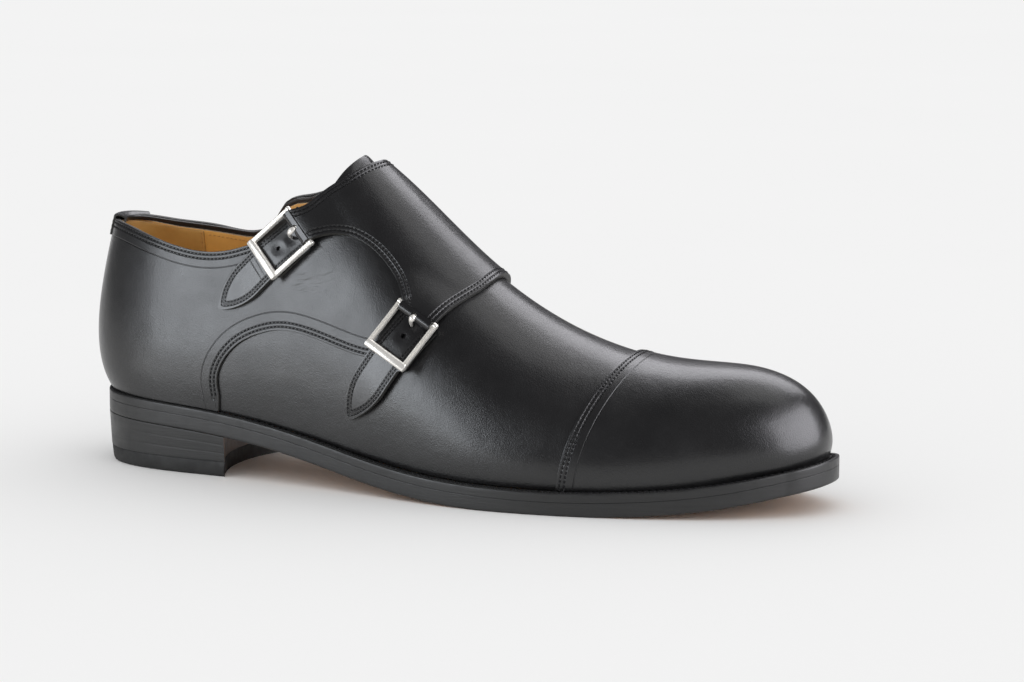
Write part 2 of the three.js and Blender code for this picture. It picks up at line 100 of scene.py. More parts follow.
bottom_steps = np.arange(len(BOTTOM_ALONG))
bottom_fine = np.linspace(0, len(BOTTOM_ALONG) - 1, 4001)
bottom_x = spline(bottom_steps, BOTTOM_ALONG)(bottom_fine)
bottom_z = spline(bottom_steps, BOTTOM_UP)(bottom_fine)


def bottom(x):
    """The bottom edge's height above the floor."""
    return np.interp(x, bottom_x, bottom_z)


def swing(x):
    """How far the forefoot's centre line has swung to the inner side."""
    t = np.clip((x - 120) / (TOE_TIP - 120), 0, 1)
    return TIP_IN * t * t * (3 - 2 * t)


def half_section(section, side):
    """The four handles of a section's curve on one side, from the foot up to the ridge."""
    foot, top, rise, crown = section
    foot_out, top_out = (foot[1], top[1]) if side < 0 else (foot[2], top[2])
    foot_up, top_up = bottom(foot[0]), bottom(top[0]) + top[3]
    return [
        (foot[0], side * foot_out, foot_up),
        (foot[0] + rise[0], side * (foot_out + rise[1]), foot_up + rise[2]),
        (top[0] + crown[0], side * (top_out + crown[1]), top_up - crown[2]),
        (top[0], side * top_out, top_up),
    ]


last_run = [half_section(s, -1) for s in SECTIONS] + [half_section(s, 1) for s in SECTIONS[-2::-1]]
last_handles = spline(np.arange(RUN_END + 1), np.array(last_run))


def bare(row, height):
    """A point of the last: row from 0 at the outer toe to 24 at the inner, height from 0 to 1."""
    handles = last_handles(row)
    along, out, up = handles[..., 0], handles[..., 1].copy(), handles[..., 2]
    on_ridge = np.minimum(row, RUN_END - row) <= RIDGE_ROW
    out[..., 3] = np.where(on_ridge, 0, out[..., 3])
    b = height
    a = 1 - b
    weights = np.stack([a**3, 3 * a * a * b, 3 * a * b * b, b**3], -1)
    parts = [(along * weights).sum(-1), ((swing(along) + out) * weights).sum(-1), (up * weights).sum(-1)]
    return np.stack(parts, -1)


def unit(directions):
    return directions / np.linalg.norm(directions, axis=-1, keepdims=True)


def outward(row, height):
    """The last's outward direction."""
    step = 2e-3
    r = np.clip(row, 0.15, RUN_END - 0.15)
    h = np.clip(height, 0.03, 1 - step)
    along = bare(r + step, h) - bare(r - step, h)
    up = bare(r, h + step) - bare(r, h - step)
    return unit(np.cross(up, along))


def around(row, height):
    """Coordinates for a piece that goes round the heel: the row and the height as they are."""
    return row, height


def instep(row, height):
    """Coordinates for a piece that goes over the instep: rows from the toe, and a height that runs on
    from 1 at the ridge to 2 at the inner side's foot."""
    return np.where(height <= 1, row, RUN_END - row), np.where(height <= 1, height, 2 - height)


def on_last(path, standing=0.0, lay=instep):
    """Points that stand off the last, and the outward direction there."""
    row, height = lay(path[..., 0], path[..., 1])
    toe_row = np.minimum(row, RUN_END - row)
    row = np.where((height >= 1) & (toe_row <= RIDGE_ROW), toe_row, row)
    out = outward(row, height)
    return bare(row, height) + out * np.asarray(standing)[..., None], out


def run_along(points):
    """The length of a line through points, up to each of them."""
    return np.concatenate([[0], np.cumsum(np.linalg.norm(np.diff(points, axis=0), axis=1))])


def read_at(lengths, run, values):
    """Values that are given at each run along a line, read at other lengths."""
    return np.stack([np.interp(lengths, run, column) for column in values.T], -1)


def resampled(points, count, closed=False):
    """Points spaced evenly along a line through the given ones."""
    if closed:
        points = np.concatenate([points, points[:1]])
    run = run_along(points)
    at = np.linspace(0, run[-1], count + 1)[:-1] if closed else np.linspace(0, run[-1], count)
    return read_at(at, run, points)


def foot_outline(count=720):
    """The last's bottom edge in plan, from the outer corner of the toe round the heel and back."""
    rows, up, down = np.linspace(0, RUN_END, 1201), np.linspace(0, 1, 81)[1:], np.linspace(1, 0, 81)[1:-1]
    sides = bare(rows, 0 * rows)
    front = [bare(np.full(up.shape, float(RUN_END)), up), bare(np.zeros(down.shape), down)]
    return resampled(np.concatenate([sides, *front])[:, :2], count, closed=True)


FOOT = foot_outline()
SEAT_WIDTH = 2.6  # the welt's edge past the last's around the heel
WELT_WIDTH = 4.8  # and in the forefoot


def plan_normals(points):
    """Outward directions of a closed plan outline, smoothed over its neighbours."""
    tangent = np.roll(points, -1, 0) - np.roll(points, 1, 0)
    normal = np.stack([-tangent[:, 1], tangent[:, 0]], -1)
    return unit(sum(np.roll(normal, k, 0) for k in range(-8, 9)))


FOOT_OUT = plan_normals(FOOT)
if (FOOT_OUT * (FOOT - FOOT.mean(0))).sum() < 0:
    FOOT_OUT = -FOOT_OUT


def set_out(heel, fore):
    """The foot's outline moved out by a width at the heel and another in the forefoot."""
    t = np.clip((FOOT[:, 0] - 70) / 100, 0, 1)
    width = heel + (fore - heel) * t * t * (3 - 2 * t)
    return FOOT + FOOT_OUT * width[:, None]


sole_corner = set_out(SEAT_WIDTH, WELT_WIDTH).min(0)
ORIGIN = np.array([*(np.array(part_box("outsole")[0][:2]) / MM - sole_corner), 0])


def placed(points):
    """Points on the last's own axes, in millimetres, as places in the shoe's frame, in metres."""
    return (np.asarray(points) + ORIGIN) * MM


# ---- Lining ----
# Tan calf lining that faces the inside of the shoe, cut in a heel part and two side parts and joined
# with upright seams. It is glued behind the upper and trimmed just under the topline.
TAN = (0.84, 0.47, 0.11)
TAN_DARK = (0.66, 0.33, 0.065)
LINING_THICK = 1.0
LINING_IN = 1.35  # its face against the upper, inside the last's surface
HEEL_TOP = 0.735  # the topline's height at the heel's seam
# The topline round the heel as (row, height), from the throat on the outer side to the inner corner.
TOPLINE = [
    (8.3, 0.565), (8.87, 0.558), (9.27, 0.57), (9.81, 0.61), (10.33, 0.663), (10.97, 0.712),
    (HEEL_ROW, HEEL_TOP), (12.83, 0.715), (13.37, 0.68), (14.1, 0.63), (14.65, 0.597),
]
# The throat under the strap panel, on either side of the topline.
THROAT_OUTER = [(6, 1), (6.3, 0.88), (7, 0.72), (7.7, 0.63), (8.3, 0.565)]
THROAT_INNER = [
    (14.65, 0.597), (14.85, 0.6), (15.02, 0.63), (15.2, 0.677), (15.4, 0.687), (15.6, 0.677),
    (16.4, 0.7), (17.2, 0.78), (17.7, 0.88), (18, 1),
]


def opening(row):
    """The height of the shoe's opening at each row."""
    line = np.array(TOPLINE)
    curve = spline(np.linspace(0, 1, len(line)), line)(np.linspace(0, 1, 201))
    path = np.concatenate([THROAT_OUTER[:-1], curve, THROAT_INNER[1:]])
    return np.interp(row, path[:, 0], path[:, 1], left=1, right=1)


def node(tree, kind, sockets=None, **settings):
    """Adds a shader node: sockets are set or linked by name, and the rest are its own settings."""
    made = tree.nodes.new(kind)
    for key, value in settings.items():
        setattr(made, key, value)
    for key, value in (sockets or {}).items():
        if isinstance(value, bpy.types.NodeSocket):
            tree.links.new(value, made.inputs[key])
        else:
            made.inputs[key].default_value = value
    return made


def material(name, **surface):
    """A new material, with its tree, its surface shader and the place of each point on the shoe."""
    made = bpy.data.materials.new(name)
    made.use_nodes = True
    tree = made.node_tree
    shader = next(n for n in tree.nodes if n.type == "BSDF_PRINCIPLED")
    for key, value in surface.items():
        shader.inputs[key.replace("_", " ")].default_value = value
    return made, tree, shader, node(tree, "ShaderNodeTexCoord").outputs["Object"]


def noise(tree, place, scale, detail=3, roughness=0.5, stretch=None):
    """A noise pattern, in cycles to the metre, and stretched along the axes if asked."""
    if stretch:
        place = node(tree, "ShaderNodeMapping", {"Vector": place, "Scale": stretch}).outputs[0]
    sockets = {"Vector": place, "Scale": scale, "Detail": detail, "Roughness": roughness}
    return node(tree, "ShaderNodeTexNoise", sockets).outputs[0]


def ranged(tree, value, low, high, from_low=0.3, from_high=0.7):
    """A value drawn from one range to another: the usual one holds most of a noise pattern."""
    sockets = {"Value": value, "From Min": from_low, "From Max": from_high, "To Min": low, "To Max": high}
    return node(tree, "ShaderNodeMapRange", sockets).outputs[0]


def mixed(tree, share, first, second):
    """A colour between two, by a share."""
    made = node(tree, "ShaderNodeMix", data_type="RGBA")
    tree.links.new(share, made.inputs[0])
    made.inputs[6].default_value = (*first, 1)
    made.inputs[7].default_value = (*second, 1)
    return made.outputs[2]


def bumped(tree, height, distance, strength=1.0, under=None):
    """A bump over another one, whose height is in metres."""
    sockets = {"Height": height, "Distance": distance, "Strength": strength}
    if under:
        sockets["Normal"] = under
    return node(tree, "ShaderNodeBump", sockets).outputs[0]


def patterned(name, colours, rough, bumps, **surface):
    """A material of noise patterns, each given as noise() takes it. colours is (first, second,
    pattern), rough is (low, high, pattern) or nothing, and a bump is (distance, strength, pattern)."""
    made, tree, shader, place = material(name, **surface)
    first, second, pattern = colours
    share = ranged(tree, noise(tree, place, *pattern), 0, 1)
    tree.links.new(mixed(tree, share, first, second), shader.inputs["Base Color"])
    if rough:
        low, high, pattern = rough
        tree.links.new(ranged(tree, noise(tree, place, *pattern), low, high), shader.inputs["Roughness"])
    under = None
    for distance, strength, pattern in bumps:
        under = bumped(tree, noise(tree, place, *pattern), distance, strength, under)
    tree.links.new(under, shader.inputs["Normal"])
    return made


def times(share, tone):
    return tuple(share * t for t in tone)


def lining_leather(name, light, dark):
    """Unpolished calf, patchy in colour, with fine grain and soft folds."""
    bumps = [(0.00006, 0.6, (1500, 5, 0.65)), (0.0006, 0.4, (90, 2))]
    return patterned(name, (light, dark, (55, 4, 0.6)), None, bumps, Roughness=0.5, Sheen_Weight=0.15)


def raw_edge(name, tone):
    """The cut edge of a piece of leather, stained and rubbed down."""
    fibres = [(0.0001, 0.5, (1800, 2))]
    return patterned(name, (tone, times(0.6, tone), (700, 3)), None, fibres, Roughness=0.55)


def grid_piece(name, points):
    """A new mesh object: a grid primitive whose points are laid at the given places."""
    rows, columns = points.shape[:2]
    bpy.ops.mesh.primitive_grid_add(x_subdivisions=columns - 1, y_subdivisions=rows - 1, size=MM)
    piece = bpy.context.object
    piece.name = name
    piece.data.name = name
    piece.data.vertices.foreach_set("co", placed(points).ravel())
    piece.data.update()
    return piece


def apply(piece, kind, **settings):
    """Adds a modifier to a piece and applies it."""
    modifier = piece.modifiers.new(kind, kind)
    for key, value in settings.items():
        setattr(modifier, key, value)
    bpy.context.view_layer.objects.active = piece
    bpy.ops.object.modifier_apply(modifier=modifier.name)


def in_edit(piece, *steps):
    """Runs steps on the whole of a piece in edit mode."""
    bpy.context.view_layer.objects.active = piece
    bpy.ops.object.mode_set(mode="EDIT")
    bpy.ops.mesh.select_all(action="SELECT")
    for step in steps:
        step()
    bpy.ops.object.mode_set(mode="OBJECT")


def merge():
    bpy.ops.mesh.remove_doubles(threshold=1e-6)


def face_out():
    bpy.ops.mesh.normals_make_consistent(inside=False)


def rounded(piece, edge):
    """Rounds a piece's sharp edges."""
    apply(piece, "BEVEL", width=edge * MM, segments=2, limit_method="ANGLE", angle_limit=math.radians(50))


def dressed(piece, *finish):
    """Gives a piece its materials, in order."""
    for part in finish:
        piece.data.materials.append(part)


def faces_in(points, out):
    """Whether the faces of a grid look against the outward directions at its points."""
    across, along = np.diff(points, axis=1)[:-1], np.diff(points, axis=0)[:, :-1]
    return (np.cross(across, along) * out[:-1, :-1]).sum() < 0


def smooth(piece):
    piece.data.polygons.foreach_set("use_smooth", [True] * len(piece.data.polygons))
    piece.data.update()


def kept(piece, slot, *nodes):
    """Rides a finished piece on the shoe and hides the solids that it stands for; slot is not used."""
    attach(piece, "root")
    if nodes:
        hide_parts(*nodes)


def leather(name, path, over, thick, finish, lay=instep, edge=0.3, weld=False):
    """A cut piece of leather: a grid laid on the last at a standing, given its thickness inwards and
    rounded along its edges. finish is its face, edge and flesh."""
    points, out = on_last(path, over, lay)
    piece = grid_piece(name, points)
    thick = np.broadcast_to(np.asarray(thick, float), points.shape[:2]).ravel()
    if thick.min() < thick.max():
        group = piece.vertex_groups.new(name="thickness")
        for index, share in enumerate(thick / thick.max()):
            group.add([index], share, "REPLACE")
    steps = ([merge] if weld else []) + ([bpy.ops.mesh.flip_normals] if faces_in(points, out) else [])
    in_edit(piece, *steps)
    dressed(piece, *finish)
    last_slot = len(finish) - 1
    group = "thickness" if piece.vertex_groups else ""
    apply(piece, "SOLIDIFY", thickness=thick.max() * MM, offset=-1, vertex_group=group,
          material_offset_rim=min(1, last_slot), material_offset=last_slot)
    rounded(piece, edge)
    smooth(piece)
    return piece


tan_lining = lining_leather("tan_lining", TAN, TAN_DARK)
pale_edge = raw_edge("pale_edge", (0.42, 0.30, 0.19))


def shell_path(rows, shares, drop):
    """The whole upper's grid, from the last's bottom edge to its opening less a drop."""
    row = np.repeat(rows[:, None], len(shares), 1)
    top = opening(row)
    lowered = np.where(top < 1, top - drop(row), top)
    return np.stack([row, shares * lowered], -1)


def lining_drop(row):
    """How far under the topline the lining is trimmed: more on the inner side, where the calf is
    turned in."""
    return 0.004 + 0.014 * np.clip((row - 12) / 1.5, 0, 1)


shell_parts = [np.linspace(0, 6, 91), np.linspace(6, 18, 261), np.linspace(18, RUN_END, 91)]
shell_rows = np.unique(np.concatenate(shell_parts))
lining = leather("lining", shell_path(shell_rows[::2], np.linspace(0, 1, 41), lining_drop), -LINING_IN,
                 LINING_THICK, [tan_lining, pale_edge, tan_lining], around, 0.25, weld=True)
kept(lining, "lining")
# The heel's part is glued inside the side parts, flesh side out.
HEEL_LINING = (10.13, 13.87)
heel_tan = lining_leather("heel_tan", (0.62, 0.36, 0.095), (0.46, 0.235, 0.05))
tan_edge = raw_edge("tan_edge", (0.26, 0.13, 0.04))
heel_rows = np.linspace(*HEEL_LINING, 81)
heel_shares = np.linspace(0.02, 0.995, 41)
heel_lining = leather("heel_lining", shell_path(heel_rows, heel_shares, lining_drop), -LINING_IN - 0.95,
                      0.5, [tan_lining, tan_edge, heel_tan], around, 0.15)
kept(heel_lining, "lining")


# ---- Vamp ----
# Black box calf, lasted from the toe back under the quarters to the heel, which it carries as one
# closed shell. Its edge is skived thin and hidden by the quarters, the strap panel and the cap.
CALF = (0.0045, 0.0045, 0.005)
CALF_WORN = (0.0085, 0.0083, 0.0088)
# The calf's cut edges: their own grey tone, lightened further as a painted highlight along the rounded edges.
CALF_EDGE_AND_HIGHLIGHT = (0.042, 0.041, 0.036)
VAMP_THICK = 1.2
ROW_GAP = 1.65  # between the two rows of a seam's stitches
FAR = 0.02  # in metres, what is stored where no line is near


def black_calf(name, rough_low, rough_high, grain, coat, gap=ROW_GAP):
    """Polished black calf: a soft bloom, fine grain, and marks by the distance to seams and creases."""
    made, tree, shader, place = material(
        name, Coat_Weight=coat, Coat_Roughness=0.16, Specular_IOR_Level=0.55, IOR=1.5
    )
    bloom = ranged(tree, noise(tree, place, 28, 4, 0.6), 0, 1)
    tree.links.new(mixed(tree, bloom, CALF, CALF_WORN), shader.inputs["Base Color"])
    polish = ranged(tree, noise(tree, place, 60, 5, 0.65), rough_low, rough_high)
    tree.links.new(polish, shader.inputs["Roughness"])
    hide = bumped(tree, noise(tree, place, 110, 3, 0.55), 0.0005, 0.34)
    cells = node(tree, "ShaderNodeTexVoronoi", {"Vector": place, "Scale": 2100})
    pores = bumped(tree, cells.outputs["Distance"], 0.00005, grain, hide)
    fine = bumped(tree, noise(tree, place, 1500, 4, 0.6), 0.00006, grain, pores)
    from_seam = distance_from(tree, "seam")
    from_row = node(tree, "ShaderNodeMath", {0: from_seam, 1: gap / 2 * MM}, operation="SUBTRACT")
    channel = ranged(tree, size_of(tree, from_row.outputs[0]), 0, 1, 0.0001, 0.00055)
    sunk = bumped(tree, channel, 0.0003, 0.8, fine)
    line = ranged(tree, distance_from(tree, "crease"), 0, 1, 0.00006, 0.0003)
    tree.links.new(bumped(tree, line, 0.0003, 1.0, sunk), shader.inputs["Normal"])
    return made


def size_of(tree, value):
    return node(tree, "ShaderNodeMath", {0: value}, operation="ABSOLUTE").outputs[0]


def distance_from(tree, name):
    """How far a point is from the lines whose marks carry a name, on either side."""
    return size_of(tree, node(tree, "ShaderNodeAttribute", attribute_name=name).outputs["Fac"])


def mark(piece, name, pairs):
    """Stores how far each point is from the middle of the nearest pair of lines, in metres. It is
    below nothing on the first line's side, which is the side of the piece's edge."""
    count = len(piece.data.vertices)
    flat = np.empty(count * 3, np.float32)
    piece.data.vertices.foreach_get("co", flat)
    spots = flat.reshape(-1, 3)
    signed = np.full(count, FAR)
    for first, second in pairs:
        steps = max(8, int(len_of(first) / 0.5))
        both = resampled(np.concatenate([(first + second) / 2, second - first], 1), steps)
        points, inwards = placed(both[:, :3]), both[:, 3:]
        tangent = unit(np.gradient(points, axis=0))
        box = (spots > points.min(0) - FAR / 4).all(1) & (spots < points.max(0) + FAR / 4).all(1)
        inside = spots[box]
        far = (inside**2).sum(1)[:, None] + (points**2).sum(1) - 2 * inside @ points.T
        closest = far.argmin(1)
        away = inside - points[closest]
        along = np.clip((away * tangent[closest]).sum(1), -0.0004, 0.0004)
        away = away - along[:, None] * tangent[closest]
        distance = np.linalg.norm(away, axis=1) * np.sign((away * inwards[closest]).sum(1))
        signed[box] = np.where(np.abs(distance) < np.abs(signed[box]), distance, signed[box])
    stored = piece.data.attributes.new(name, "FLOAT", "POINT")
    stored.data.foreach_set("value", signed.astype(np.float32))


def len_of(line):
    return run_along(line)[-1]


calf = black_calf("black_calf", 0.27, 0.38, 0.75, 0.22)
# The calf's edge material carries the edges' own tone plus a painted highlight.
calf_edge_and_highlight = raw_edge("calf_edge_and_highlight", CALF_EDGE_AND_HIGHLIGHT)
vamp = leather("vamp", shell_path(shell_rows, np.linspace(0, 1, 65), lambda row: 0.001), 0,
               VAMP_THICK, [calf, calf_edge_and_highlight, calf], around, 0.25, weld=True)
kept(vamp, "calf", "upper")


# ---- Toe cap ----
# A straight cap of the same calf, laid over the vamp and sewn with two close rows. A single line is
# ironed into it ahead of the seam.
CAP_ROW = 4.3
CAP_OVER = 1.1
STITCH_PITCH = 1.7
STITCH_LONG = 1.25
STITCH_RADIUS = 0.25
FIRST_ROW = 1.3  # the first row of stitches, in from an edge
LINE_STEP = 0.8  # between the points of a drawn line


def drawn(points, lay=instep, count=None):
    """A smooth line on the last through a few points, with even spacing."""
    points = np.array(points, float)
    knots = run_along(on_last(points, 0.0, lay)[0])
    fine = spline(knots, points)(np.linspace(0, knots[-1], 400))
    run = run_along(on_last(fine, 0.0, lay)[0])
    count = count or max(12, int(run[-1] / LINE_STEP))
    return read_at(np.linspace(0, run[-1], count), run, fine)


def slope(path, step, lay):
    """How places on the last change with a small step of their coordinates."""
    return (on_last(path + step, 0.0, lay)[0] - on_last(path - step, 0.0, lay)[0]) / (2 * step.sum())


def inset(line, distance, side, lay=instep):
    """A line on the last moved sideways along the surface: side 1 is to the left seen from outside."""
    moved = np.array(line, float)
    rounds = max(1, int(math.ceil(distance)))
    for _ in range(rounds):
        places, out = on_last(moved, 0.0, lay)
        left = np.cross(out, unit(np.gradient(places, axis=0))) * side * distance / rounds
        down, up = slope(moved, np.array([1e-3, 0]), lay), slope(moved, np.array([0, 1e-3]), lay)
        dd, du, uu = (down * down).sum(1), (down * up).sum(1), (up * up).sum(1)
        ld, lu = (left * down).sum(1), (left * up).sum(1)
        size = dd * uu - du * du
        moved = moved + np.stack([(ld * uu - lu * du) / size, (lu * dd - ld * du) / size], -1)
    return moved


def stitch_thread(name, light, dark):
    """Thread whose twist shows both in its colour and in its surface."""
    made, tree, shader, place = material(name, Roughness=0.7, Specular_IOR_Level=0.3)
    twist = ranged(tree, noise(tree, place, 900, 2), 0, 1)
    tree.links.new(mixed(tree, twist, light, dark), shader.inputs["Base Color"])
    tree.links.new(bumped(tree, twist, 0.0001, 0.5), shader.inputs["Normal"])
    return made


thread = stitch_thread("waxed_thread", (0.009, 0.009, 0.01), (0.004, 0.004, 0.005))


def one_stitch():
    """The shape of one stitch, a unit from its middle to its end along X: its points and its faces."""
    bpy.ops.mesh.primitive_uv_sphere_add(segments=6, ring_count=4, radius=1, rotation=(0, math.pi / 2, 0))
    bpy.ops.object.transform_apply(location=False, rotation=True, scale=False)
    pattern = bpy.context.object
    points = np.array([v.co for v in pattern.data.vertices])
    faces = [tuple(p.vertices) for p in pattern.data.polygons]
    bpy.data.objects.remove(pattern)
    return points, faces


def repeated(name, points, faces, spots, finish):
    """One mesh of a small shape set down many times: each spot is (middle, ahead, side, up)."""
    all_points = [middle + points @ np.stack(axes) for middle, *axes in spots]
    all_faces = [tuple(len(points) * i + k for k in face) for i in range(len(all_points)) for face in faces]
    mesh = bpy.data.meshes.new(name)
    mesh.from_pydata(placed(np.concatenate(all_points)).tolist(), [], all_faces)
    piece = bpy.data.objects.new(name, mesh)
    bpy.context.collection.objects.link(piece)
    dressed(piece, finish)
    smooth(piece)
    return piece


def stitched(name, lines, pitch=STITCH_PITCH, long=STITCH_LONG, radius=STITCH_RADIUS, turn=0.12,
             finish=thread):
    """Rows of stitches, one mesh: each line is (places, outward directions)."""
    shape, faces = one_stitch()
    shape = np.sign(shape) * np.abs(shape) ** (0.75, 1, 1) * (long / 2, radius * 1.15, radius)
    spots = []
    for places, out in lines:
        count = max(2, int(round(len_of(places) / pitch)))
        both = resampled(np.concatenate([places, out * 1e-3], 1), 2 * count + 1)[1::2]
        middle, up = both[:, :3], unit(both[:, 3:])
        ahead = np.gradient(middle, axis=0)
        ahead = unit(ahead - (ahead * up).sum(1)[:, None] * up)
        side = np.cross(up, ahead)
        turned = ahead * math.cos(turn) + side * math.sin(turn)
        spots += zip(middle, turned, side * math.cos(turn) - ahead * math.sin(turn), up)
    kept(repeated(name, shape, faces, spots, finish), "thread")


def double_row(line, side, standing, lay=instep, first=FIRST_ROW):
    """Two rows of stitches inside an edge, as places and outward directions."""
    rows = []
    for distance in (first, first + ROW_GAP):
        path = inset(line, distance, side, lay)
        over = standing(path) if callable(standing) else standing
        rows.append(on_last(path, over + 0.03, lay))
    return rows


def ironed(line, distance, side, standing, lay=instep):
    """The two sides of a line ironed into the leather along an edge, half a millimetre from it."""
    return [on_last(inset(line, distance + off, side, lay), standing, lay)[0] for off in (-0.5, 0.5)]


def places_of(*seams):
    """The places of each seam's two rows."""
    return [(first[0], second[0]) for first, second in seams]


cap_path = np.stack(np.meshgrid(np.linspace(0, CAP_ROW, 150), np.linspace(0, 2, 221), indexing="ij"), -1)
cap_edge = drawn([(CAP_ROW, c) for c in np.linspace(0.02, 1.98, 15)])
cap_rows = double_row(cap_edge, -1, CAP_OVER)
toe_cap = leather("toe_cap", cap_path, CAP_OVER, 1.0, [calf, calf_edge_and_highlight, calf])
mark(toe_cap, "seam", places_of(cap_rows))
mark(toe_cap, "crease", [ironed(cap_edge, 6.4, -1, CAP_OVER)])
kept(toe_cap, "calf", "toe_cap")
stitched("cap_stitches", cap_rows)


# ---- Lining's seams ----
# Small tan stitches inside the shoe: one row down each edge of the heel's part, and one row along the
# inner side's topline in front of it.
tan_thread = stitch_thread("tan_thread", (0.62, 0.34, 0.11), (0.42, 0.2, 0.06))
LINING_FACE = -LINING_IN - LINING_THICK


def lining_row(path, standing):
    places, out = on_last(path, standing, around)
    return places, -out


lining_rows = []
for row in (HEEL_LINING[0] + 0.04, HEEL_LINING[1] - 0.04):
    upright = np.linspace((row, 0.08), (row, float(opening(row)) - 0.02), 60)
    lining_rows.append(lining_row(upright, LINING_FACE - 0.5))
along_top = np.linspace(HEEL_LINING[1] + 0.06, 15.0, 80)
lining_rows.append(lining_row(np.stack([along_top, opening(along_top) - 0.034], -1), LINING_FACE - 0.03))
stitched("lining_stitches", lining_rows, pitch=1.9, long=1.3, radius=0.17, finish=tan_thread)


# ---- Outer quarter ----
# The outer side's quarter, which runs from the heel seam to under the straps. Its lower edge arches
# over the vamp and is sewn down with two rows, with a single ironed line above it and another
# under the topline.
QUARTER_OVER = 1.15
COLLAR_ROW = 1.2  # the first row of stitches under the topline
FRONT_LOW, FRONT_HIGH = (6.5, 0.30), (6.35, 0.83)
ARCH = [
    (8.97, 0.0), (9.0, 0.06), (9.01, 0.13), (8.93, 0.18), (8.71, 0.238), (8.39, 0.27), (8.09, 0.28),
    (7.67, 0.272), (7.29, 0.262), (6.87, 0.268), FRONT_LOW,
]
# Creases where the quarter bends by the upper buckle: from and to, along and up, then depth and width.
CREASES = [
    ((92, 79.6), (102, 81.6), 0.1, 0.5), ((93, 78), (105, 79.6), 0.11, 0.5),
    ((92, 76.2), (101, 77.4), 0.11, 0.5), ((99, 77), (110, 78.4), 0.09, 0.5),
    ((94, 74.6), (104, 75.2), 0.08, 0.5), ((103, 80.4), (114, 82.6), 0.08, 0.5),
    ((101, 75), (109, 75.4), 0.06, 0.5), ((106, 78.6), (116, 80.4), 0.05, 0.5),
    ((90, 75), (120, 80), 0.3, 5),
]


def bell(away, width):
    return np.exp(-((away / width) ** 2))


def wrinkled(places):
    """Soft troughs beside soft ridges where the leather bends, by place on the outer side."""
    dent = np.zeros(places.shape[:-1])
    for start, end, depth, width in CREASES:
        start, end = np.array(start, float), np.array(end, float)
        away = places[..., (0, 2)] - start
        run, length = unit(end - start), np.linalg.norm(end - start)
        along = away @ run
        across = away @ np.array([-run[1], run[0]]) + 0.05 * (along - length / 2) ** 2 / length
        across = across + 0.22 * np.sin(0.9 * places[..., 0] + 5 * start[1])
        fade = np.sin(np.pi * np.clip(along / length, 0, 1)) ** 1.5
        dent += depth * fade * (0.5 * bell(across - 1.6 * width, width) - bell(across, width))
    return np.where(places[..., 1] < 0, dent, 0)


def evened(path, count):
    """A line's points moved to even spacing on the last."""
    run = run_along(on_last(path)[0])
    return read_at(np.linspace(0, run[-1], count), run, path)


def coons(start, end, first, last, count):
    """A grid inside four lines: first and last, evened to a count, run from start to end."""
    first, last = evened(first, count), evened(last, count)
    u = np.linspace(0, 1, len(first))[:, None, None]
    v = np.linspace(0, 1, len(start))[None, :, None]
    corners = (1 - u) * ((1 - v) * first[0] + v * last[0]) + u * ((1 - v) * first[-1] + v * last[-1])
    return (1 - v) * first[:, None] + v * last[:, None] + (1 - u) * start[None] + u * end[None] - corners


outer_topline = drawn([p for p in TOPLINE if p[0] <= HEEL_ROW], around)
front_top = evened(np.array([FRONT_HIGH, (6.9, 0.72), (7.7, 0.63), TOPLINE[0]]), 30)
quarter_top = np.concatenate([front_top[:-1], outer_topline])
arch_line = drawn(ARCH[1:])[::-1]
feather = np.linspace((ARCH[0][0], 0), (HEEL_ROW, 0), 60)
feather[0] = arch_line[-1]
# The grid parts at a line from the topline to the arch's foot, which it meets slantwise.
PART_ROW = 9.81
FRONT_U, BACK_U, QUARTER_V = 190, 110, 130
parting = int(np.argmin(np.abs(quarter_top[:, 0] - PART_ROW)))
part_line = drawn([quarter_top[parting], (9.8, 0.45), (9.66, 0.28), (9.35, 0.12), arch_line[-1]])
part_line = evened(part_line, QUARTER_V)
heel_seam = np.linspace((HEEL_ROW, HEEL_TOP), (HEEL_ROW, 0), QUARTER_V)
front_seam = np.linspace(FRONT_HIGH, FRONT_LOW, QUARTER_V)
quarter_front = coons(front_seam, part_line, quarter_top[: parting + 1], arch_line, FRONT_U)
quarter_back = coons(part_line, heel_seam, quarter_top[parting:], feather, BACK_U)
quarter_path = np.concatenate([quarter_front, quarter_back[1:]])
quarter_over = QUARTER_OVER + wrinkled(on_last(quarter_path)[0])
arch_rows = double_row(arch_line, -1, QUARTER_OVER)
collar_rows = double_row(outer_topline, 1, QUARTER_OVER, first=COLLAR_ROW)
arch_crease = ironed(arch_line, 7.0, -1, QUARTER_OVER)
collar_crease = ironed(outer_topline[4:-18], 6.3, 1, QUARTER_OVER)
outer_quarter = leather("outer_quarter", quarter_path, quarter_over, 1.1, [calf, calf_edge_and_highlight, calf])
mark(outer_quarter, "seam", places_of(arch_rows, collar_rows))
mark(outer_quarter, "crease", [arch_crease, collar_crease])
kept(outer_quarter, "calf")
stitched("arch_stitches", arch_rows)
stitched("outer_collar_stitches", collar_rows)


# ---- Tongue ----
# A padded calf tongue, lined in tan, sewn in under the vamp. Its rounded end stands just over the
# strap panel's top edge.
TONGUE_THICK = 2.2


def eased(value, low, high):
    """0 below low, 1 above high, and smooth between them."""
    t = np.clip((np.asarray(value, float) - low) / (high - low), 0, 1)
    return t * t * (3 - 2 * t)


TONGUE_ACROSS, TONGUE_ALONG = 90, 70  # its grid
TONGUE_TOP = [
    (7.7, 0.66), (7.62, 0.69), (7.52, 0.73), (7.42, 0.80), (7.31, 0.9), (7.26, 1.0),
    (7.32, 1.1), (7.45, 1.2), (7.6, 1.265), (7.8, 1.31),
]
tongue_top = drawn(TONGUE_TOP, count=TONGUE_ACROSS)
tongue_low = np.linspace((5.7, 0.74), (5.7, 1.26), TONGUE_ACROSS)
tongue_path = np.linspace(tongue_low, tongue_top, TONGUE_ALONG)
tongue_over = -2.7 + 2.0 * eased(tongue_path[..., 0], 7.0, 7.3)
tongue = leather("tongue", tongue_path, tongue_over, TONGUE_THICK, [calf, calf_edge_and_highlight, tan_lining], edge=0.6)
kept(tongue, "calf", "tongue")


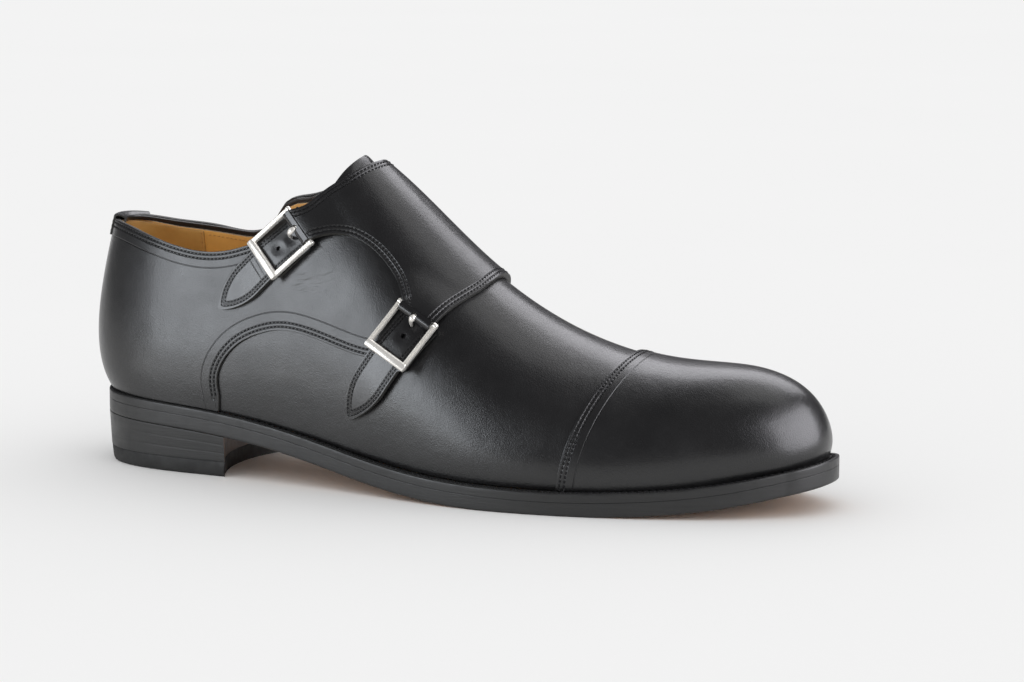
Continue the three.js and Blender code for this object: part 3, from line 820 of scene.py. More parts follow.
# ---- Strap panel ----
# The inner quarter and both straps, cut in one piece of calf with a leather lining: it runs from the
# heel seam up over the instep and parts into two straps round an arch. Every edge has two rows.
INNER_OVER = 1.15  # its face over the last on the inner side
STRAP_OVER = 2.55  # and over the instep and the outer side
CLIMB = 16.0  # how far from its roll a strap begins to climb
STRAP_HALF = 7.4  # half its width there
LONG, WIDE = 19.5, 17.0  # a buckle's frame, between the middles of its bars
FRAME_UP = 4.3  # the frame's middle over the last
ROLL_UP = 3.6  # how far a strap climbs to its roll, before the frame leans
# The buckles' middles on the last, their straps' climb in degrees, how far the frame leans down to its
# roll, the places of the punched holes along the billet, and the billet's end and turn.
BUCKLES = {
    "upper": {"spot": (8.04, 0.533), "slope": 46, "lean": 3, "holes": (4.0, -2.7), "end": -36.8, "turn": 0},
    "lower": {"spot": (6.36, 0.398), "slope": 61, "lean": 9, "holes": (5.2, 0.1), "end": -35.6, "turn": 5},
}
for buckle in BUCKLES.values():
    middle, normal = on_last(np.array(buckle["spot"]))
    slant, lean = math.radians(buckle["slope"]), math.radians(buckle["lean"])
    ahead = np.array([math.cos(slant), 0, math.sin(slant)])
    ahead = unit(ahead - (ahead @ normal) * normal)
    run = ahead * math.cos(lean) - normal * math.sin(lean)
    out = normal * math.cos(lean) + ahead * math.sin(lean)
    buckle["middle"] = middle + (normal - out) * FRAME_UP
    buckle["axes"] = np.stack([run, np.cross(normal, ahead), out])
    buckle["roll_up"] = ROLL_UP - LONG / 2 * math.sin(lean)


def to_buckle(buckle, places):
    """Places on the last as (along the strap, across it, out) from the buckle's middle."""
    return (places - buckle["middle"]) @ buckle["axes"].T


def from_buckle(buckle, local):
    """And back from there to places on the last."""
    return buckle["middle"] + np.asarray(local, float) @ buckle["axes"]


def panel_over(path):
    """How high the panel's face stands: thin on the inner side, and climbing to each buckle."""
    over = INNER_OVER + (STRAP_OVER - INNER_OVER) * (1 - eased(path[..., 1], 1.12, 1.5))
    places = on_last(path)[0]
    for buckle in BUCKLES.values():
        along, across, _ = np.moveaxis(to_buckle(buckle, places), -1, 0)
        past = np.hypot(np.maximum(along - LONG / 2, 0), np.maximum(np.abs(across) - STRAP_HALF, 0))
        over = over + buckle["roll_up"] * (1 - eased(past, 0, CLIMB))
    return over


def on_strap(buckle, local):
    """The last's own coordinates of places given along and across a buckle's strap."""
    path = np.broadcast_to(buckle["spot"], local.shape)
    step = 1e-3
    for _ in range(12):
        here = to_buckle(buckle, on_last(path)[0])[..., :2]
        down = (to_buckle(buckle, on_last(path + (step, 0))[0])[..., :2] - here) / step
        up = (to_buckle(buckle, on_last(path + (0, step))[0])[..., :2] - here) / step
        wanted = local - here
        size = down[..., 0] * up[..., 1] - down[..., 1] * up[..., 0]
        move = np.stack([wanted[..., 0] * up[..., 1] - wanted[..., 1] * up[..., 0],
                         wanted[..., 1] * down[..., 0] - wanted[..., 0] * down[..., 1]], -1)
        path = path + np.clip(move / size[..., None], -0.4, 0.4)
        path[..., 1] = np.clip(path[..., 1], 0.005, 0.98)
    return path


strap_end = np.array([(LONG / 2 + 0.4, across) for across in (STRAP_HALF, 0, -STRAP_HALF)])
upper_end, lower_end = (on_strap(buckle, strap_end) for buckle in BUCKLES.values())
# The panel's outlines, each from the buckles' side round to the heel's.
INNER_CORNER, ARCH_END, INNER_HEEL = (9.12, 1.398), (8.0, 1.722), (HEEL_ROW, 2 - HEEL_TOP)
cutout = [
    upper_end[-1], (7.39, 0.565), (7.19, 0.58), (7.01, 0.585), (6.81, 0.583), (6.65, 0.57),
    (6.52, 0.548), lower_end[0],
]
panel_top = [
    upper_end[0], (7.745, 0.65), (7.6, 0.695), (7.36, 0.77), (7.16, 0.885), (7.08, 1.0), (7.13, 1.1),
    (7.3, 1.2), (7.55, 1.265), (7.95, 1.305), (8.41, 1.318), (8.62, 1.312), (8.8, 1.322), (8.92, 1.36),
    INNER_CORNER,
]
panel_front = [
    lower_end[-1], (5.84, 0.66), (5.72, 0.79), (5.68, 0.99), (5.73, 1.18), (5.84, 1.36), (6.0, 1.52),
    (6.2, 1.635), (6.38, 1.70),
]
inner_arch = [
    panel_front[-1], (6.5, 1.735), (6.66, 1.748), (6.9, 1.74), (7.29, 1.732), (7.67, 1.728), ARCH_END,
]
inner_drop = [
    ARCH_END, (8.39, 1.73), (8.71, 1.762), (8.93, 1.82), (9.01, 1.87), (9.0, 1.94), (8.97, 2.0),
]
PANEL_U, PANEL_V, INNER_U = 170, 110, 60  # the panel's grid
cut_lines = [drawn(part) for part in (upper_end, cutout, lower_end)]
outer_end = evened(np.concatenate([cut_lines[0][:-1], cut_lines[1], cut_lines[2][1:]]), PANEL_V)
top_line, front_line = drawn(panel_top), drawn(panel_front)
inner_arch_line, inner_drop_line = drawn(inner_arch), drawn(inner_drop)
low_line = np.concatenate([front_line[:-1], inner_arch_line])
inner_cut = np.linspace(top_line[-1], low_line[-1], PANEL_V)
panel_part = coons(outer_end, inner_cut, top_line, low_line, PANEL_U)
inner_topline = drawn([INNER_CORNER, (9.35, 1.403), (9.9, 1.37), (10.63, 1.32), (11.17, 1.285), INNER_HEEL])
inner_foot = inner_drop_line[-1]
inner_feather = np.linspace(inner_drop[-1], (HEEL_ROW, 2), 60)
inner_feather[0] = inner_foot
parting = len(inner_topline) // 3
inner_part_line = drawn([inner_topline[parting], (9.8, 1.55), (9.66, 1.72), (9.35, 1.88), inner_foot])
inner_part_line = evened(inner_part_line, PANEL_V)
inner_heel_seam = np.linspace(INNER_HEEL, (HEEL_ROW, 2), PANEL_V)
middle_part = coons(inner_cut, inner_part_line, inner_topline[: parting + 1], inner_drop_line, INNER_U)
back_part = coons(inner_part_line, inner_heel_seam, inner_topline[parting:], inner_feather, INNER_U)
panel_path = np.concatenate([panel_part, middle_part[1:], back_part[1:]])
panel_face = panel_over(panel_path)
panel_thick = np.minimum(panel_face - 0.1, 2.3)
strap_panel = leather("strap_panel", panel_path, panel_face, panel_thick, [calf, calf_edge_and_highlight, calf])
top_rows = double_row(top_line, -1, panel_over)
front_rows = double_row(front_line, 1, panel_over)
cutout_rows = double_row(cut_lines[1][2:-2], 1, panel_over)
inner_edge = np.concatenate([inner_arch_line[:-1], inner_drop_line])
inner_arch_rows = double_row(inner_edge[6:], 1, panel_over)
inner_collar_rows = double_row(inner_topline, -1, panel_over, first=COLLAR_ROW)
INNER_CREASE = [
    (9.3, 1.45), (8.85, 1.43), (8.5, 1.40), (7.95, 1.40), (7.3, 1.43), (6.8, 1.50), (6.55, 1.57),
    (6.45, 1.63),
]
inner_crease_line = drawn(INNER_CREASE)
mark(strap_panel, "seam", places_of(top_rows, front_rows, cutout_rows, inner_arch_rows, inner_collar_rows))
mark(strap_panel, "crease", [ironed(inner_crease_line, 1.0, 1, INNER_OVER + 0.4)])
kept(strap_panel, "calf", "strap_panel")
stitched("panel_stitches", top_rows + front_rows + cutout_rows)
stitched("inner_quarter_stitches", inner_arch_rows + inner_collar_rows)


# ---- Straps' rolls ----
# Each strap's end is folded round the buckle's inner bar, polished by the frame, and has a rounded
# notch for the prong.
ROLL_RADIUS = 2.05
ROLL_AT = LONG / 2 - 1.0  # the inner bar, along the strap
ROLL_BACK = 4.5  # how far the fold runs back under the strap
NOTCH_HALF = 1.4
NOTCH_DRAWN = 2.2  # how much longer than wide the notch's cutter is


def cut(piece, buckle, radius, depth, at, sides, drawn_out=1):
    """Cuts through a piece square to a buckle, with a cylinder that may be drawn out along the strap."""
    bpy.ops.mesh.primitive_cylinder_add(vertices=sides, radius=radius * MM, depth=depth * MM)
    cutter = bpy.context.object
    turned = Matrix(buckle["axes"].T.tolist()).to_4x4() @ Matrix.Diagonal((drawn_out, 1, 1, 1))
    cutter.data.transform(Matrix.Translation(placed(from_buckle(buckle, at))) @ turned)
    apply(piece, "BOOLEAN", operation="DIFFERENCE", solver="EXACT", object=cutter)
    bpy.data.objects.remove(cutter)


def choose(*pieces):
    """Selects pieces and nothing else, with the first of them active."""
    bpy.ops.object.select_all(action="DESELECT")
    for piece in pieces:
        piece.select_set(True)
    bpy.context.view_layer.objects.active = pieces[0]


def smooth_to(piece, degrees):
    """Smooth shading that stops at edges sharper than an angle."""
    choose(piece)
    bpy.ops.object.shade_smooth_by_angle(angle=math.radians(degrees))


def roll(name, buckle):
    """The fold round the inner bar, from the strap's face back to under it."""
    turns = np.linspace(0, math.pi, 25)
    bend = np.stack([-np.sin(turns), 0 * turns, np.cos(turns)], -1) * ROLL_RADIUS
    over = np.linspace(1.6, 0.2, 6)[:, None] * (1, 0, 0) + bend[:1]
    under = np.linspace(0, ROLL_BACK, 6)[1:, None] * (1, 0, 0) + bend[-1:]
    profile = np.concatenate([over, bend, under]) + (ROLL_AT, 0, FRAME_UP)
    across = np.linspace(-STRAP_HALF, STRAP_HALF, 41)
    points = profile[:, None] + np.stack([0 * across, across, 0 * across], -1)
    piece = grid_piece(name, from_buckle(buckle, points))
    dressed(piece, calf_gloss, calf_edge_and_highlight)
    in_edit(piece, face_out)
    outermost = piece.data.polygons[len(piece.data.polygons) // 3]
    centre = Vector(placed(from_buckle(buckle, (ROLL_AT, 0, FRAME_UP))))
    if outermost.normal.dot(outermost.center - centre) < 0:
        in_edit(piece, bpy.ops.mesh.flip_normals)
    apply(piece, "SOLIDIFY", thickness=1.1 * MM, offset=-1, material_offset_rim=1)
    notch = (ROLL_AT + 0.9 - NOTCH_DRAWN * NOTCH_HALF, 0, FRAME_UP + 5)
    cut(piece, buckle, NOTCH_HALF, 14, notch, 32, NOTCH_DRAWN)
    rounded(piece, 0.25)
    smooth_to(piece, 40)
    kept(piece, "calf")


calf_gloss = black_calf("glossed_calf", 0.16, 0.26, 0.25, 0.15)
for name, buckle in BUCKLES.items():
    roll(name + "_roll", buckle)


# ---- Billets ----
# Each billet is a pointed strap sewn to the outer quarter, lined, stitched all round in two close
# rows, with two punched holes. It runs up under the buckle.
BILLET_HALF = 7.2
BILLET_SPREAD = 1.9  # how much wider it is pressed under the frame
BILLET_TAPER = -20.0  # where the point begins
BILLET_START = 8.5
BILLET_OVER = 3.2
BILLET_DIVE = 1.9  # how far it sinks from the outer bar to under the roll
BILLET_ROWS = (1.0, 2.2)
BILLET_LINES, BILLET_COLUMNS = 150, 61  # its grid
HOLE_RADIUS = 0.95


def point_width(along, half, end):
    """Half the width of a billet whose sides draw in to a point."""
    t = np.clip((BILLET_TAPER - along) / (BILLET_TAPER - end), 0, 1)
    return half * (1 - t**1.9) ** 0.82


def billet_outline(buckle, inside):
    """The billet's edge moved in, as points along and across, from one side of its start to the other."""
    end = buckle["end"] + inside * 1.9
    along = end + (BILLET_START - end) * np.linspace(0, 1, 160) ** 1.5
    width = point_width(along, BILLET_HALF - inside, end)
    return np.concatenate([np.stack([along, width], -1)[::-1], np.stack([along, -width], -1)[1:]])


def on_billet(buckle, local):
    """The last's own coordinates of places along and across a billet, turned a little in its frame."""
    turn = math.radians(buckle["turn"])
    turned = np.stack([local[..., 0] * math.cos(turn) + local[..., 1] * math.sin(turn),
                       local[..., 1] * math.cos(turn) - local[..., 0] * math.sin(turn)], -1)
    return on_strap(buckle, turned)


def dished(along, across, buckle):
    """The billet's face sinks round its holes, and the upper one puckers where the outer bar bends it."""
    dent = np.zeros_like(along)
    for hole in buckle["holes"]:
        away = np.hypot(along - hole, across)
        dent += 0.04 * bell(away - 3.4, 1.2) - 0.2 * bell(away, 2.0)
    if buckle is BUCKLES["upper"]:
        for at, lean, depth in ((-13.2, 0.08, 0.07), (-15.2, 0.05, 0.09)):
            line = along - at - lean * across
            fade = np.exp(-((across / 5) ** 4))
            dent += depth * fade * (0.6 * bell(line - 0.9, 0.5) - bell(line, 0.4))
    return dent


billet_calf = black_calf("billet_calf", 0.23, 0.35, 0.5, 0.3, BILLET_ROWS[1] - BILLET_ROWS[0])


def billet_over(along, across, buckle):
    """How high the billet's face stands: it sinks from the outer bar to under the roll."""
    return BILLET_OVER - BILLET_DIVE * eased(along, -LONG / 2, 8) + dished(along, across, buckle)


def billet(name, buckle):
    """The strap, its punched holes and its stitches."""
    along = buckle["end"] + (BILLET_START - buckle["end"]) * np.linspace(0, 1, BILLET_LINES) ** 1.25
    width = np.maximum(point_width(along, BILLET_HALF, buckle["end"]), 0.12)
    width = width + BILLET_SPREAD * eased(along, -LONG / 2 - 0.8, -LONG / 2 + 1.2)
    across = np.linspace(-1, 1, BILLET_COLUMNS) * width[:, None]
    local = np.stack(np.broadcast_arrays(along[:, None], across), -1)
    path = on_billet(buckle, local)
    over = billet_over(local[..., 0], across, buckle)
    thick = np.clip(over - QUARTER_OVER + 0.05, 0.4, 2.1)
    piece = leather(name, path, over, thick, [billet_calf, calf_edge_and_highlight, calf])
    for hole in buckle["holes"]:
        cut(piece, buckle, HOLE_RADIUS, 16, (hole, 0, 2), 28)
    smooth_to(piece, 45)
    rows = []
    for inside in BILLET_ROWS:
        outline = resampled(billet_outline(buckle, inside), 260)
        seam = on_billet(buckle, outline)
        rows.append(on_last(seam, billet_over(*outline.T, buckle) + 0.03))
    mark(piece, "seam", places_of(rows))
    kept(piece, "calf", name)
    stitched(name + "_stitches", rows, pitch=1.5, long=1.1, radius=0.2)


for name, buckle in BUCKLES.items():
    billet(name + "_billet", buckle)


# ---- Buckles and prongs ----
# Nickel-plated frames: a thick rounded outer bar, two grooved side bars and a thin inner bar under
# the strap's roll, with a short drop-shaped prong through the billet's first hole.
NICKEL = (0.95, 0.925, 0.875)
BAR_DEEP, BAR_THICK = 3.3, 2.6
SIDE_HALF = 0.95
KNUCKLE = 1.1  # half the length of the barrel where a side bar meets the inner one


def swept(name, centres, side, ups, section, scales):
    """A solid bar: a closed section of (side, up) carried along a line, with a scale at each step."""
    section = np.concatenate([section, section[:1]])
    offsets = section[None, :, :1] * side + section[None, :, 1:] * ups[:, None]
    piece = grid_piece(name, centres[:, None] + offsets * scales[:, None, None])
    in_edit(piece, merge, face_out)
    return piece


def ring(radius, count=16, flat=1.0):
    """A round section, or an oval one."""
    turns = np.linspace(0, 2 * math.pi, count, endpoint=False)
    return np.stack([np.cos(turns) * radius, np.sin(turns) * radius * flat], -1)


def soft_box(wide, high, power):
    """A rectangle with well rounded corners."""
    unit_ring = ring(1, 28)
    return np.sign(unit_ring) * np.abs(unit_ring) ** (2 / power) * (wide / 2, high / 2)


def straight_bar(name, buckle, start, end, section, rounding):
    """A bar between two places on a buckle, with rounded ends."""
    start, end = np.array(start, float), np.array(end, float)
    run, total = unit(end - start), np.linalg.norm(end - start)
    turns = np.linspace(0, math.pi / 2, 6)
    near = rounding * (1 - np.cos(turns))
    at = np.concatenate([[0], near, total - near[::-1], [total]])
    swell = np.maximum(0.5 + 0.5 * np.sin(turns), 0.55)
    scales = np.concatenate([[0], swell, swell[::-1], [0]])
    centres = from_buckle(buckle, start + at[:, None] * run)
    side = np.cross((0, 0, 1), run) @ buckle["axes"]
    return swept(name, centres, side, np.tile(buckle["axes"][2], (len(at), 1)), section, scales)


# A side bar's section, whose face has two grooves between three ridges.
grooved_half = [(SIDE_HALF, -0.8), (SIDE_HALF, 0.45), (0.8, 0.72), (0.55, 0.78), (0.36, 0.52), (0.18, 0.86)]
GROOVED = np.array([(-out, up) for out, up in grooved_half] + grooved_half[::-1])


def joined(name, pieces):
    """Several pieces made one."""
    choose(*pieces)
    bpy.ops.object.join()
    pieces[0].name = name
    pieces[0].data.name = name
    return pieces[0]


def frame_of(name, buckle):
    """The outer bar, the inner one, and a side bar and its knuckle on either side."""
    far, half = LONG / 2, WIDE / 2
    reach = half + SIDE_HALF
    bars = [
        ((-far, -reach, 0), (-far, reach, 0), soft_box(BAR_DEEP, BAR_THICK, 2.6), 0.35),
        ((ROLL_AT, -half, 0), (ROLL_AT, half, 0), ring(0.8), 0.2),
    ]
    for side in (-1, 1):
        bars.append(((-far + 0.4, side * half, 0.1), (far + 0.5, side * half, 0.1), GROOVED, 0.9))
        near, out = side * (half - KNUCKLE), side * (half + KNUCKLE)
        bars.append(((far + 0.1, near, 0), (far + 0.1, out, 0), ring(1.15), 0.5))
    up = np.array([0, 0, FRAME_UP])
    parts = [straight_bar("bar", buckle, start + up, end + up, *rest) for start, end, *rest in bars]
    piece = joined(name, parts)
    smooth_to(piece, 38)
    dressed(piece, nickel)
    kept(piece, "nickel", name)


def prong(name, buckle):
    """A short tongue that rises from the notch and drops into the billet's first hole."""
    hole = buckle["holes"][0]
    start, end = np.array([ROLL_AT - 0.2, 0, FRAME_UP + 1.2]), np.array([hole, 0, 1.6])
    bend = np.array([hole + 0.4, 0, FRAME_UP + 2.9])
    t = np.linspace(0, 1, 24)
    b = t[:, None]
    centres = from_buckle(buckle, (1 - b) ** 2 * start + 2 * b * (1 - b) * bend + b**2 * end)
    side = buckle["axes"][1]
    ups = np.cross(unit(np.gradient(centres, axis=0)), side)
    scales = 0.6 + 0.42 * bell(t - 0.3, 0.26)
    scales[[0, -1]] = 0
    piece = swept(name, centres, side, ups, ring(1.2, 20, 0.85), scales)
    dressed(piece, nickel)
    smooth(piece)
    kept(piece, "nickel", name)


nickel_colours = (NICKEL, times(0.95, NICKEL), (160, 3))
nickel = patterned("nickel", nickel_colours, (0.24, 0.3, (200, 3)), [(0.00004, 0.2, (500, 3))], Metallic=0.55)
for name, buckle in BUCKLES.items():
    frame_of(name + "_buckle", buckle)
    prong(name + "_prong", buckle)


# ---- Heel tab ----
# A narrow strip of calf folded over the topline at the heel seam, sewn down outside and wider inside,
# where it covers the join of the two quarters and of their lining.
TAB_ROWS = (11.5, 12.85)
TAB_DOWN = 0.665  # its lower end outside, as a height on the last
TAB_THICK = 0.8
TAB_OVER = QUARTER_OVER + 0.8
TAB_INSIDE = -3.2  # its face inside the shoe
TAB_RISE = 0.004  # how far it stands over the opening's height
TAB_COLUMNS = 33


def heel_tab():
    """The strip from its lower end outside, over the topline, to its spread end inside."""
    rows = np.linspace(*TAB_ROWS, TAB_COLUMNS)
    share = np.linspace(-1, 1, TAB_COLUMNS)
    top = opening(rows) + TAB_RISE
    low = TAB_DOWN + 0.006 * share**2
    outside = np.linspace(np.stack([rows, low], -1), np.stack([rows, top], -1), 18)
    lines = list(on_last(outside, TAB_OVER, around)[0])
    edge, out = on_last(outside[-1], 0.0, around)
    middle, half = (TAB_OVER + TAB_INSIDE) / 2, (TAB_OVER - TAB_INSIDE) / 2
    for turn in np.linspace(0, math.pi, 12)[1:-1]:
        lines.append(edge + out * (middle + half * math.cos(turn)) + np.array([0, 0, 1.3 * math.sin(turn)]))
    for step in np.linspace(0, 1, 12):
        spread = HEEL_ROW + (rows - HEEL_ROW) * (1 + 0.08 * step)
        height = opening(spread) + TAB_RISE - 0.012 * step
        lines.append(on_last(np.stack([spread, height], -1), TAB_INSIDE, around)[0])
    points = np.array(lines)
    piece = grid_piece("heel_tab", points)
    if faces_in(points[: len(outside)], np.broadcast_to(out, outside.shape[:2] + (3,))):
        in_edit(piece, bpy.ops.mesh.flip_normals)
    dressed(piece, calf, calf_edge_and_highlight)
    apply(piece, "SOLIDIFY", thickness=TAB_THICK * MM, offset=-1, material_offset_rim=1)
    rounded(piece, 0.25)
    smooth(piece)
    kept(piece, "calf")
    borders = (outside[2:15, column] for column in (3, -4))
    return [on_last(border, TAB_OVER + 0.03, around) for border in borders]


stitched("heel_tab_stitches", heel_tab())


# ---- Sock ----
# The insole inside the shoe, under a full-length tan leather sock, with its edge rolled against the
# lining.
SOCK_UP = 2.8  # over the last's bottom edge
SOCK_OUT = -3.3  # its edge, inside the last's


def levelled(profile, level, heel=SEAT_WIDTH, fore=WELT_WIDTH):
    """A plate round the shoe: each step of its profile is (out, up, share of the way to the middle)."""
    base = np.array([set_out(heel + out, fore + out) for out, _, _ in profile])
    spine_x = np.clip(FOOT[:, 0], 16, 272)
    spine = np.stack([spine_x, swing(spine_x) - 2], -1)
    plan = np.array([p + (spine - p) * share for p, (_, _, share) in zip(base, profile)])
    up = np.array([level(p[:, 0]) + rise for p, (_, rise, _) in zip(plan, profile)])
    points = np.concatenate([plan, up[..., None]], -1).transpose(1, 0, 2)
    return np.concatenate([points, points[:1]])


def fill():
    """Closes a plate's open middle, and takes all of it into the selection."""
    bpy.ops.mesh.fill_holes(sides=0)
    bpy.ops.mesh.select_all(action="SELECT")


def plate(name, points, *finish, hollow=False):
    """A plate as one piece: filled across its middle, or a hollow ring whose section closes."""
    if hollow:
        points = np.concatenate([points, points[:, :1]], 1)
    piece = grid_piece(name, points)
    in_edit(piece, *([merge] if hollow else [merge, fill]), face_out)
    dressed(piece, *finish)
    smooth(piece)
    return piece


def welt_level(x):
    return bottom(x) - 0.3


INSIDE = (0.0, 0.3, 0.55, 0.75, 0.9)  # shares of the way to the middle
sock_edge = [(0.5, -3.0, 0), (0.5, SOCK_UP - 0.6, 0), (0.1, SOCK_UP - 0.1, 0), (-0.8, SOCK_UP, 0)]
sock_middle = [(-0.8, SOCK_UP + 0.25 * math.sin(math.pi * share), share) for share in INSIDE[1:]]
sock_points = levelled(sock_edge + sock_middle, welt_level, SOCK_OUT, SOCK_OUT)
sock = plate("sock", sock_points, tan_lining)
kept(sock, "lining", "insole")


# ---- Welt ----
# A strip of leather sewn round the shoe from heel to heel, its top wheeled with close marks and its
# edge trimmed, inked black and waxed together with the sole's.
WELT_THICK = 3.45
MARK_PITCH = 1.15
WELT_POINTS = 1400  # round a line along the welt


def waxed_edge(name, tone, rough, streaks):
    """Trimmed leather under ink and wax, with level streaks from the brush."""
    colours = (tone, times(1.7, tone), (60, 4, 0.6, (0.6, 0.6, 14)))
    polish = (rough, rough + 0.16, (240, 4))
    bumps = [(0.00012, streaks, (160, 5, 0.65, (0.5, 0.5, 10))), (0.0004, 0.25, (55, 2))]
    return patterned(name, colours, polish, bumps, Coat_Weight=0.15, Coat_Roughness=0.3)


sole_ink = waxed_edge("inked_edge", (0.0105, 0.0105, 0.0103), 0.38, 0.5)
welt_black = waxed_edge("welt_top", (0.012, 0.012, 0.012), 0.42, 0.2)
welt_section = [
    (-9.0, -WELT_THICK), (-9.0, 0), (-5.2, 0.0), (-4.2, -0.12), (-1.0, 0.0), (-0.45, 0.02), (-0.12, -0.16),
    (0.02, -0.5), (0.05, -0.8), (0.05, -1.6), (0.05, -3.1), (0.05, -3.35), (0.02, -WELT_THICK),
]
welt_points = levelled([(out, up, 0) for out, up in welt_section], welt_level)
kept(plate("welt", welt_points, sole_ink, hollow=True), "sole_edge", "welt")


def welt_line(inside, up):
    """Places and outward directions along the welt's top, in from its edge."""
    plan = set_out(SEAT_WIDTH - inside, WELT_WIDTH - inside)
    plan = np.roll(plan, -int(np.argmin(FOOT[:, 0])), 0)
    places = np.concatenate([plan, (welt_level(plan[:, 0]) + up)[:, None]], 1)
    return resampled(places, WELT_POINTS, closed=True), np.tile([0.0, 0.0, 1.0], (WELT_POINTS, 1))


def wheel_marks():
    """Small ridges across the welt between its seam and its edge, left by the wheel."""
    places, _ = welt_line(1.25, 0.0)
    count = int(len_of(places) / MARK_PITCH)
    middle = resampled(places, count, closed=True)
    ahead = unit(np.roll(middle, -1, 0) - np.roll(middle, 1, 0))
    out = np.cross(ahead, (0, 0, 1.0))
    shape, faces = one_stitch()
    spots = zip(middle, ahead, out, np.cross(ahead, out))
    piece = repeated("welt_marks", shape * (0.28, 0.85, 0.16), faces, spots, welt_black)
    in_edit(piece, face_out)
    kept(piece, "sole_edge")


wheel_marks()
stitched("welt_stitches", [welt_line(2.35, 0.02)], pitch=2.6, long=2.2, radius=0.32, turn=0.05)


# ---- Outsole ----
# Oak-tanned leather, stitched to the welt, with an inked and waxed edge like it. The underside is
# left tan and unworn, with the closed line of the sewing channel round it.
OUTSOLE_THICK = 5.4
BREAST_CENTRE, BREAST_RADIUS = 115.0, 60.0  # the heel's hollowed front, behind which the sole is black
SOLE_GAP = 3.5  # from the welt's top down to the outsole's


def sole_under(x):
    return np.maximum(0, welt_level(x) - SOLE_GAP - OUTSOLE_THICK)


oak_colours = ((0.46, 0.25, 0.11), (0.33, 0.16, 0.065), (38, 5, 0.65))
oak_bumps = [(0.00008, 0.5, (900, 4, 0.6))]
sole_leather = patterned("tan_outsole", oak_colours, (0.34, 0.5, (130, 4)), oak_bumps, Coat_Weight=0.2,
                         Coat_Roughness=0.25)
sole_top = [(-0.4, 0.0, share) for share in INSIDE[::-1]]
sole_top += [(0.03, -0.03, 0), (0.05, -0.1, 0), (0.05, -0.4, 0), (0.06, -2.4, 0)]
sole_low = [(0.05, 1.2, 0), (0.03, 0.6, 0), (-0.05, 0.2, 0), (-0.25, 0.04, 0), (-1.2, 0.0, 0)]
channel = [(-5.0, 0.0, 0), (-5.3, 0.22, 0), (-5.6, 0.22, 0), (-5.9, 0.0, 0)]
sole_middle = [(-6.5, 0.0, share) for share in INSIDE[1:]]
upper_half = levelled(sole_top, lambda x: welt_level(x) - SOLE_GAP)
lower_half = levelled(sole_low + channel + sole_middle, sole_under)
outsole = plate("outsole", np.concatenate([upper_half, lower_half], 1), sole_ink, sole_leather)
black_up_to = placed((BREAST_CENTRE - BREAST_RADIUS, 0, 0))[0]
for face in outsole.data.polygons:
    face.material_index = int(face.normal.z < -0.9 and face.center.x > black_up_to)
kept(outsole, "sole_edge", "outsole")


# ---- Heel ----
# A stack of leather lifts, inked and waxed at its sides, with a hollowed front left dark brown, on a
# rubber top piece.
TOP_PIECE = 6.0
STACK_DRAW, PIECE_DRAW = 0.7, 1.4  # how far the stack and its top piece draw in towards the floor
LIFTS = 3
HEEL_MIDDLE = (30.0, -0.5)


def heel_ring(width):
    """The heel's outline in plan: the seat's edge at a width, closed by the hollowed front."""
    edge = FOOT + FOOT_OUT * width
    away = np.hypot(edge[:, 0] - BREAST_CENTRE, edge[:, 1])
    kept_side = (edge[:, 0] < BREAST_CENTRE) & (away > BREAST_RADIUS)
    order = np.roll(np.arange(len(edge)), -int(np.argmax(FOOT[:, 0])))
    side = edge[order][kept_side[order]]
    ends = (side[-1], side[0])
    first, last = (math.atan2(y, x - BREAST_CENTRE) % (2 * math.pi) for x, y in ends)
    turns = np.linspace(first, last, 62)[1:-1]
    front = np.stack([BREAST_CENTRE + BREAST_RADIUS * np.cos(turns), BREAST_RADIUS * np.sin(turns)], -1)
    return np.concatenate([resampled(side, 300), front])


def heel_part(name, levels, *finish):
    """A closed stack of outlines: each level is (draw, height along the shoe, share to the middle)."""
    rings = []
    for draw, height, share in levels:
        plan = heel_ring(SEAT_WIDTH - draw)
        plan = plan + (np.array(HEEL_MIDDLE) - plan) * share
        rings.append(np.concatenate([plan, height(plan[:, 0])[:, None]], 1))
    points = np.array(rings)
    piece = grid_piece(name, np.concatenate([points, points[:, :1]], 1))
    in_edit(piece, merge, face_out)
    dressed(piece, *finish)
    smooth_to(piece, 35)
    return piece


def stack_height(share):
    """Heights between the sloping top of the stack and its level foot."""
    sole, foot = SOLE_GAP + OUTSOLE_THICK + 0.05, TOP_PIECE + 0.1
    return lambda x: (welt_level(x) - sole) * (1 - share) + foot * share


# Each lift's steps from its top, or back from its foot, and how far they are rubbed in.
LIFT_EDGE = [(0.004, 0.03), (0.02, 0), (0.07, 0), (-0.07, 0), (-0.02, 0), (-0.004, 0.03)]
stack_levels = [(0.0, stack_height(0), share) for share in (1, 0.6, 0.25, 0.02)]
for lift in range(LIFTS):
    low, high = lift / LIFTS, (lift + 1) / LIFTS
    for in_from, dip in LIFT_EDGE:
        at = low + in_from if in_from > 0 else high + in_from
        stack_levels.append((STACK_DRAW * at + dip - 0.05, stack_height(at), 0))
stack_levels += [(STACK_DRAW + 0.3, stack_height(1), share) for share in (0.02, 0.3, 0.7, 1)]
breast_brown = waxed_edge("breast_brown", (0.055, 0.025, 0.012), 0.4, 0.4)
heel_stack = heel_part("heel_stack", stack_levels, sole_ink, breast_brown)
for face in heel_stack.data.polygons:
    face.material_index = int(face.normal.x > 0.8)
kept(heel_stack, "heel_lifts", "heel_stack")


def at_height(z):
    return lambda x: np.full_like(x, z)


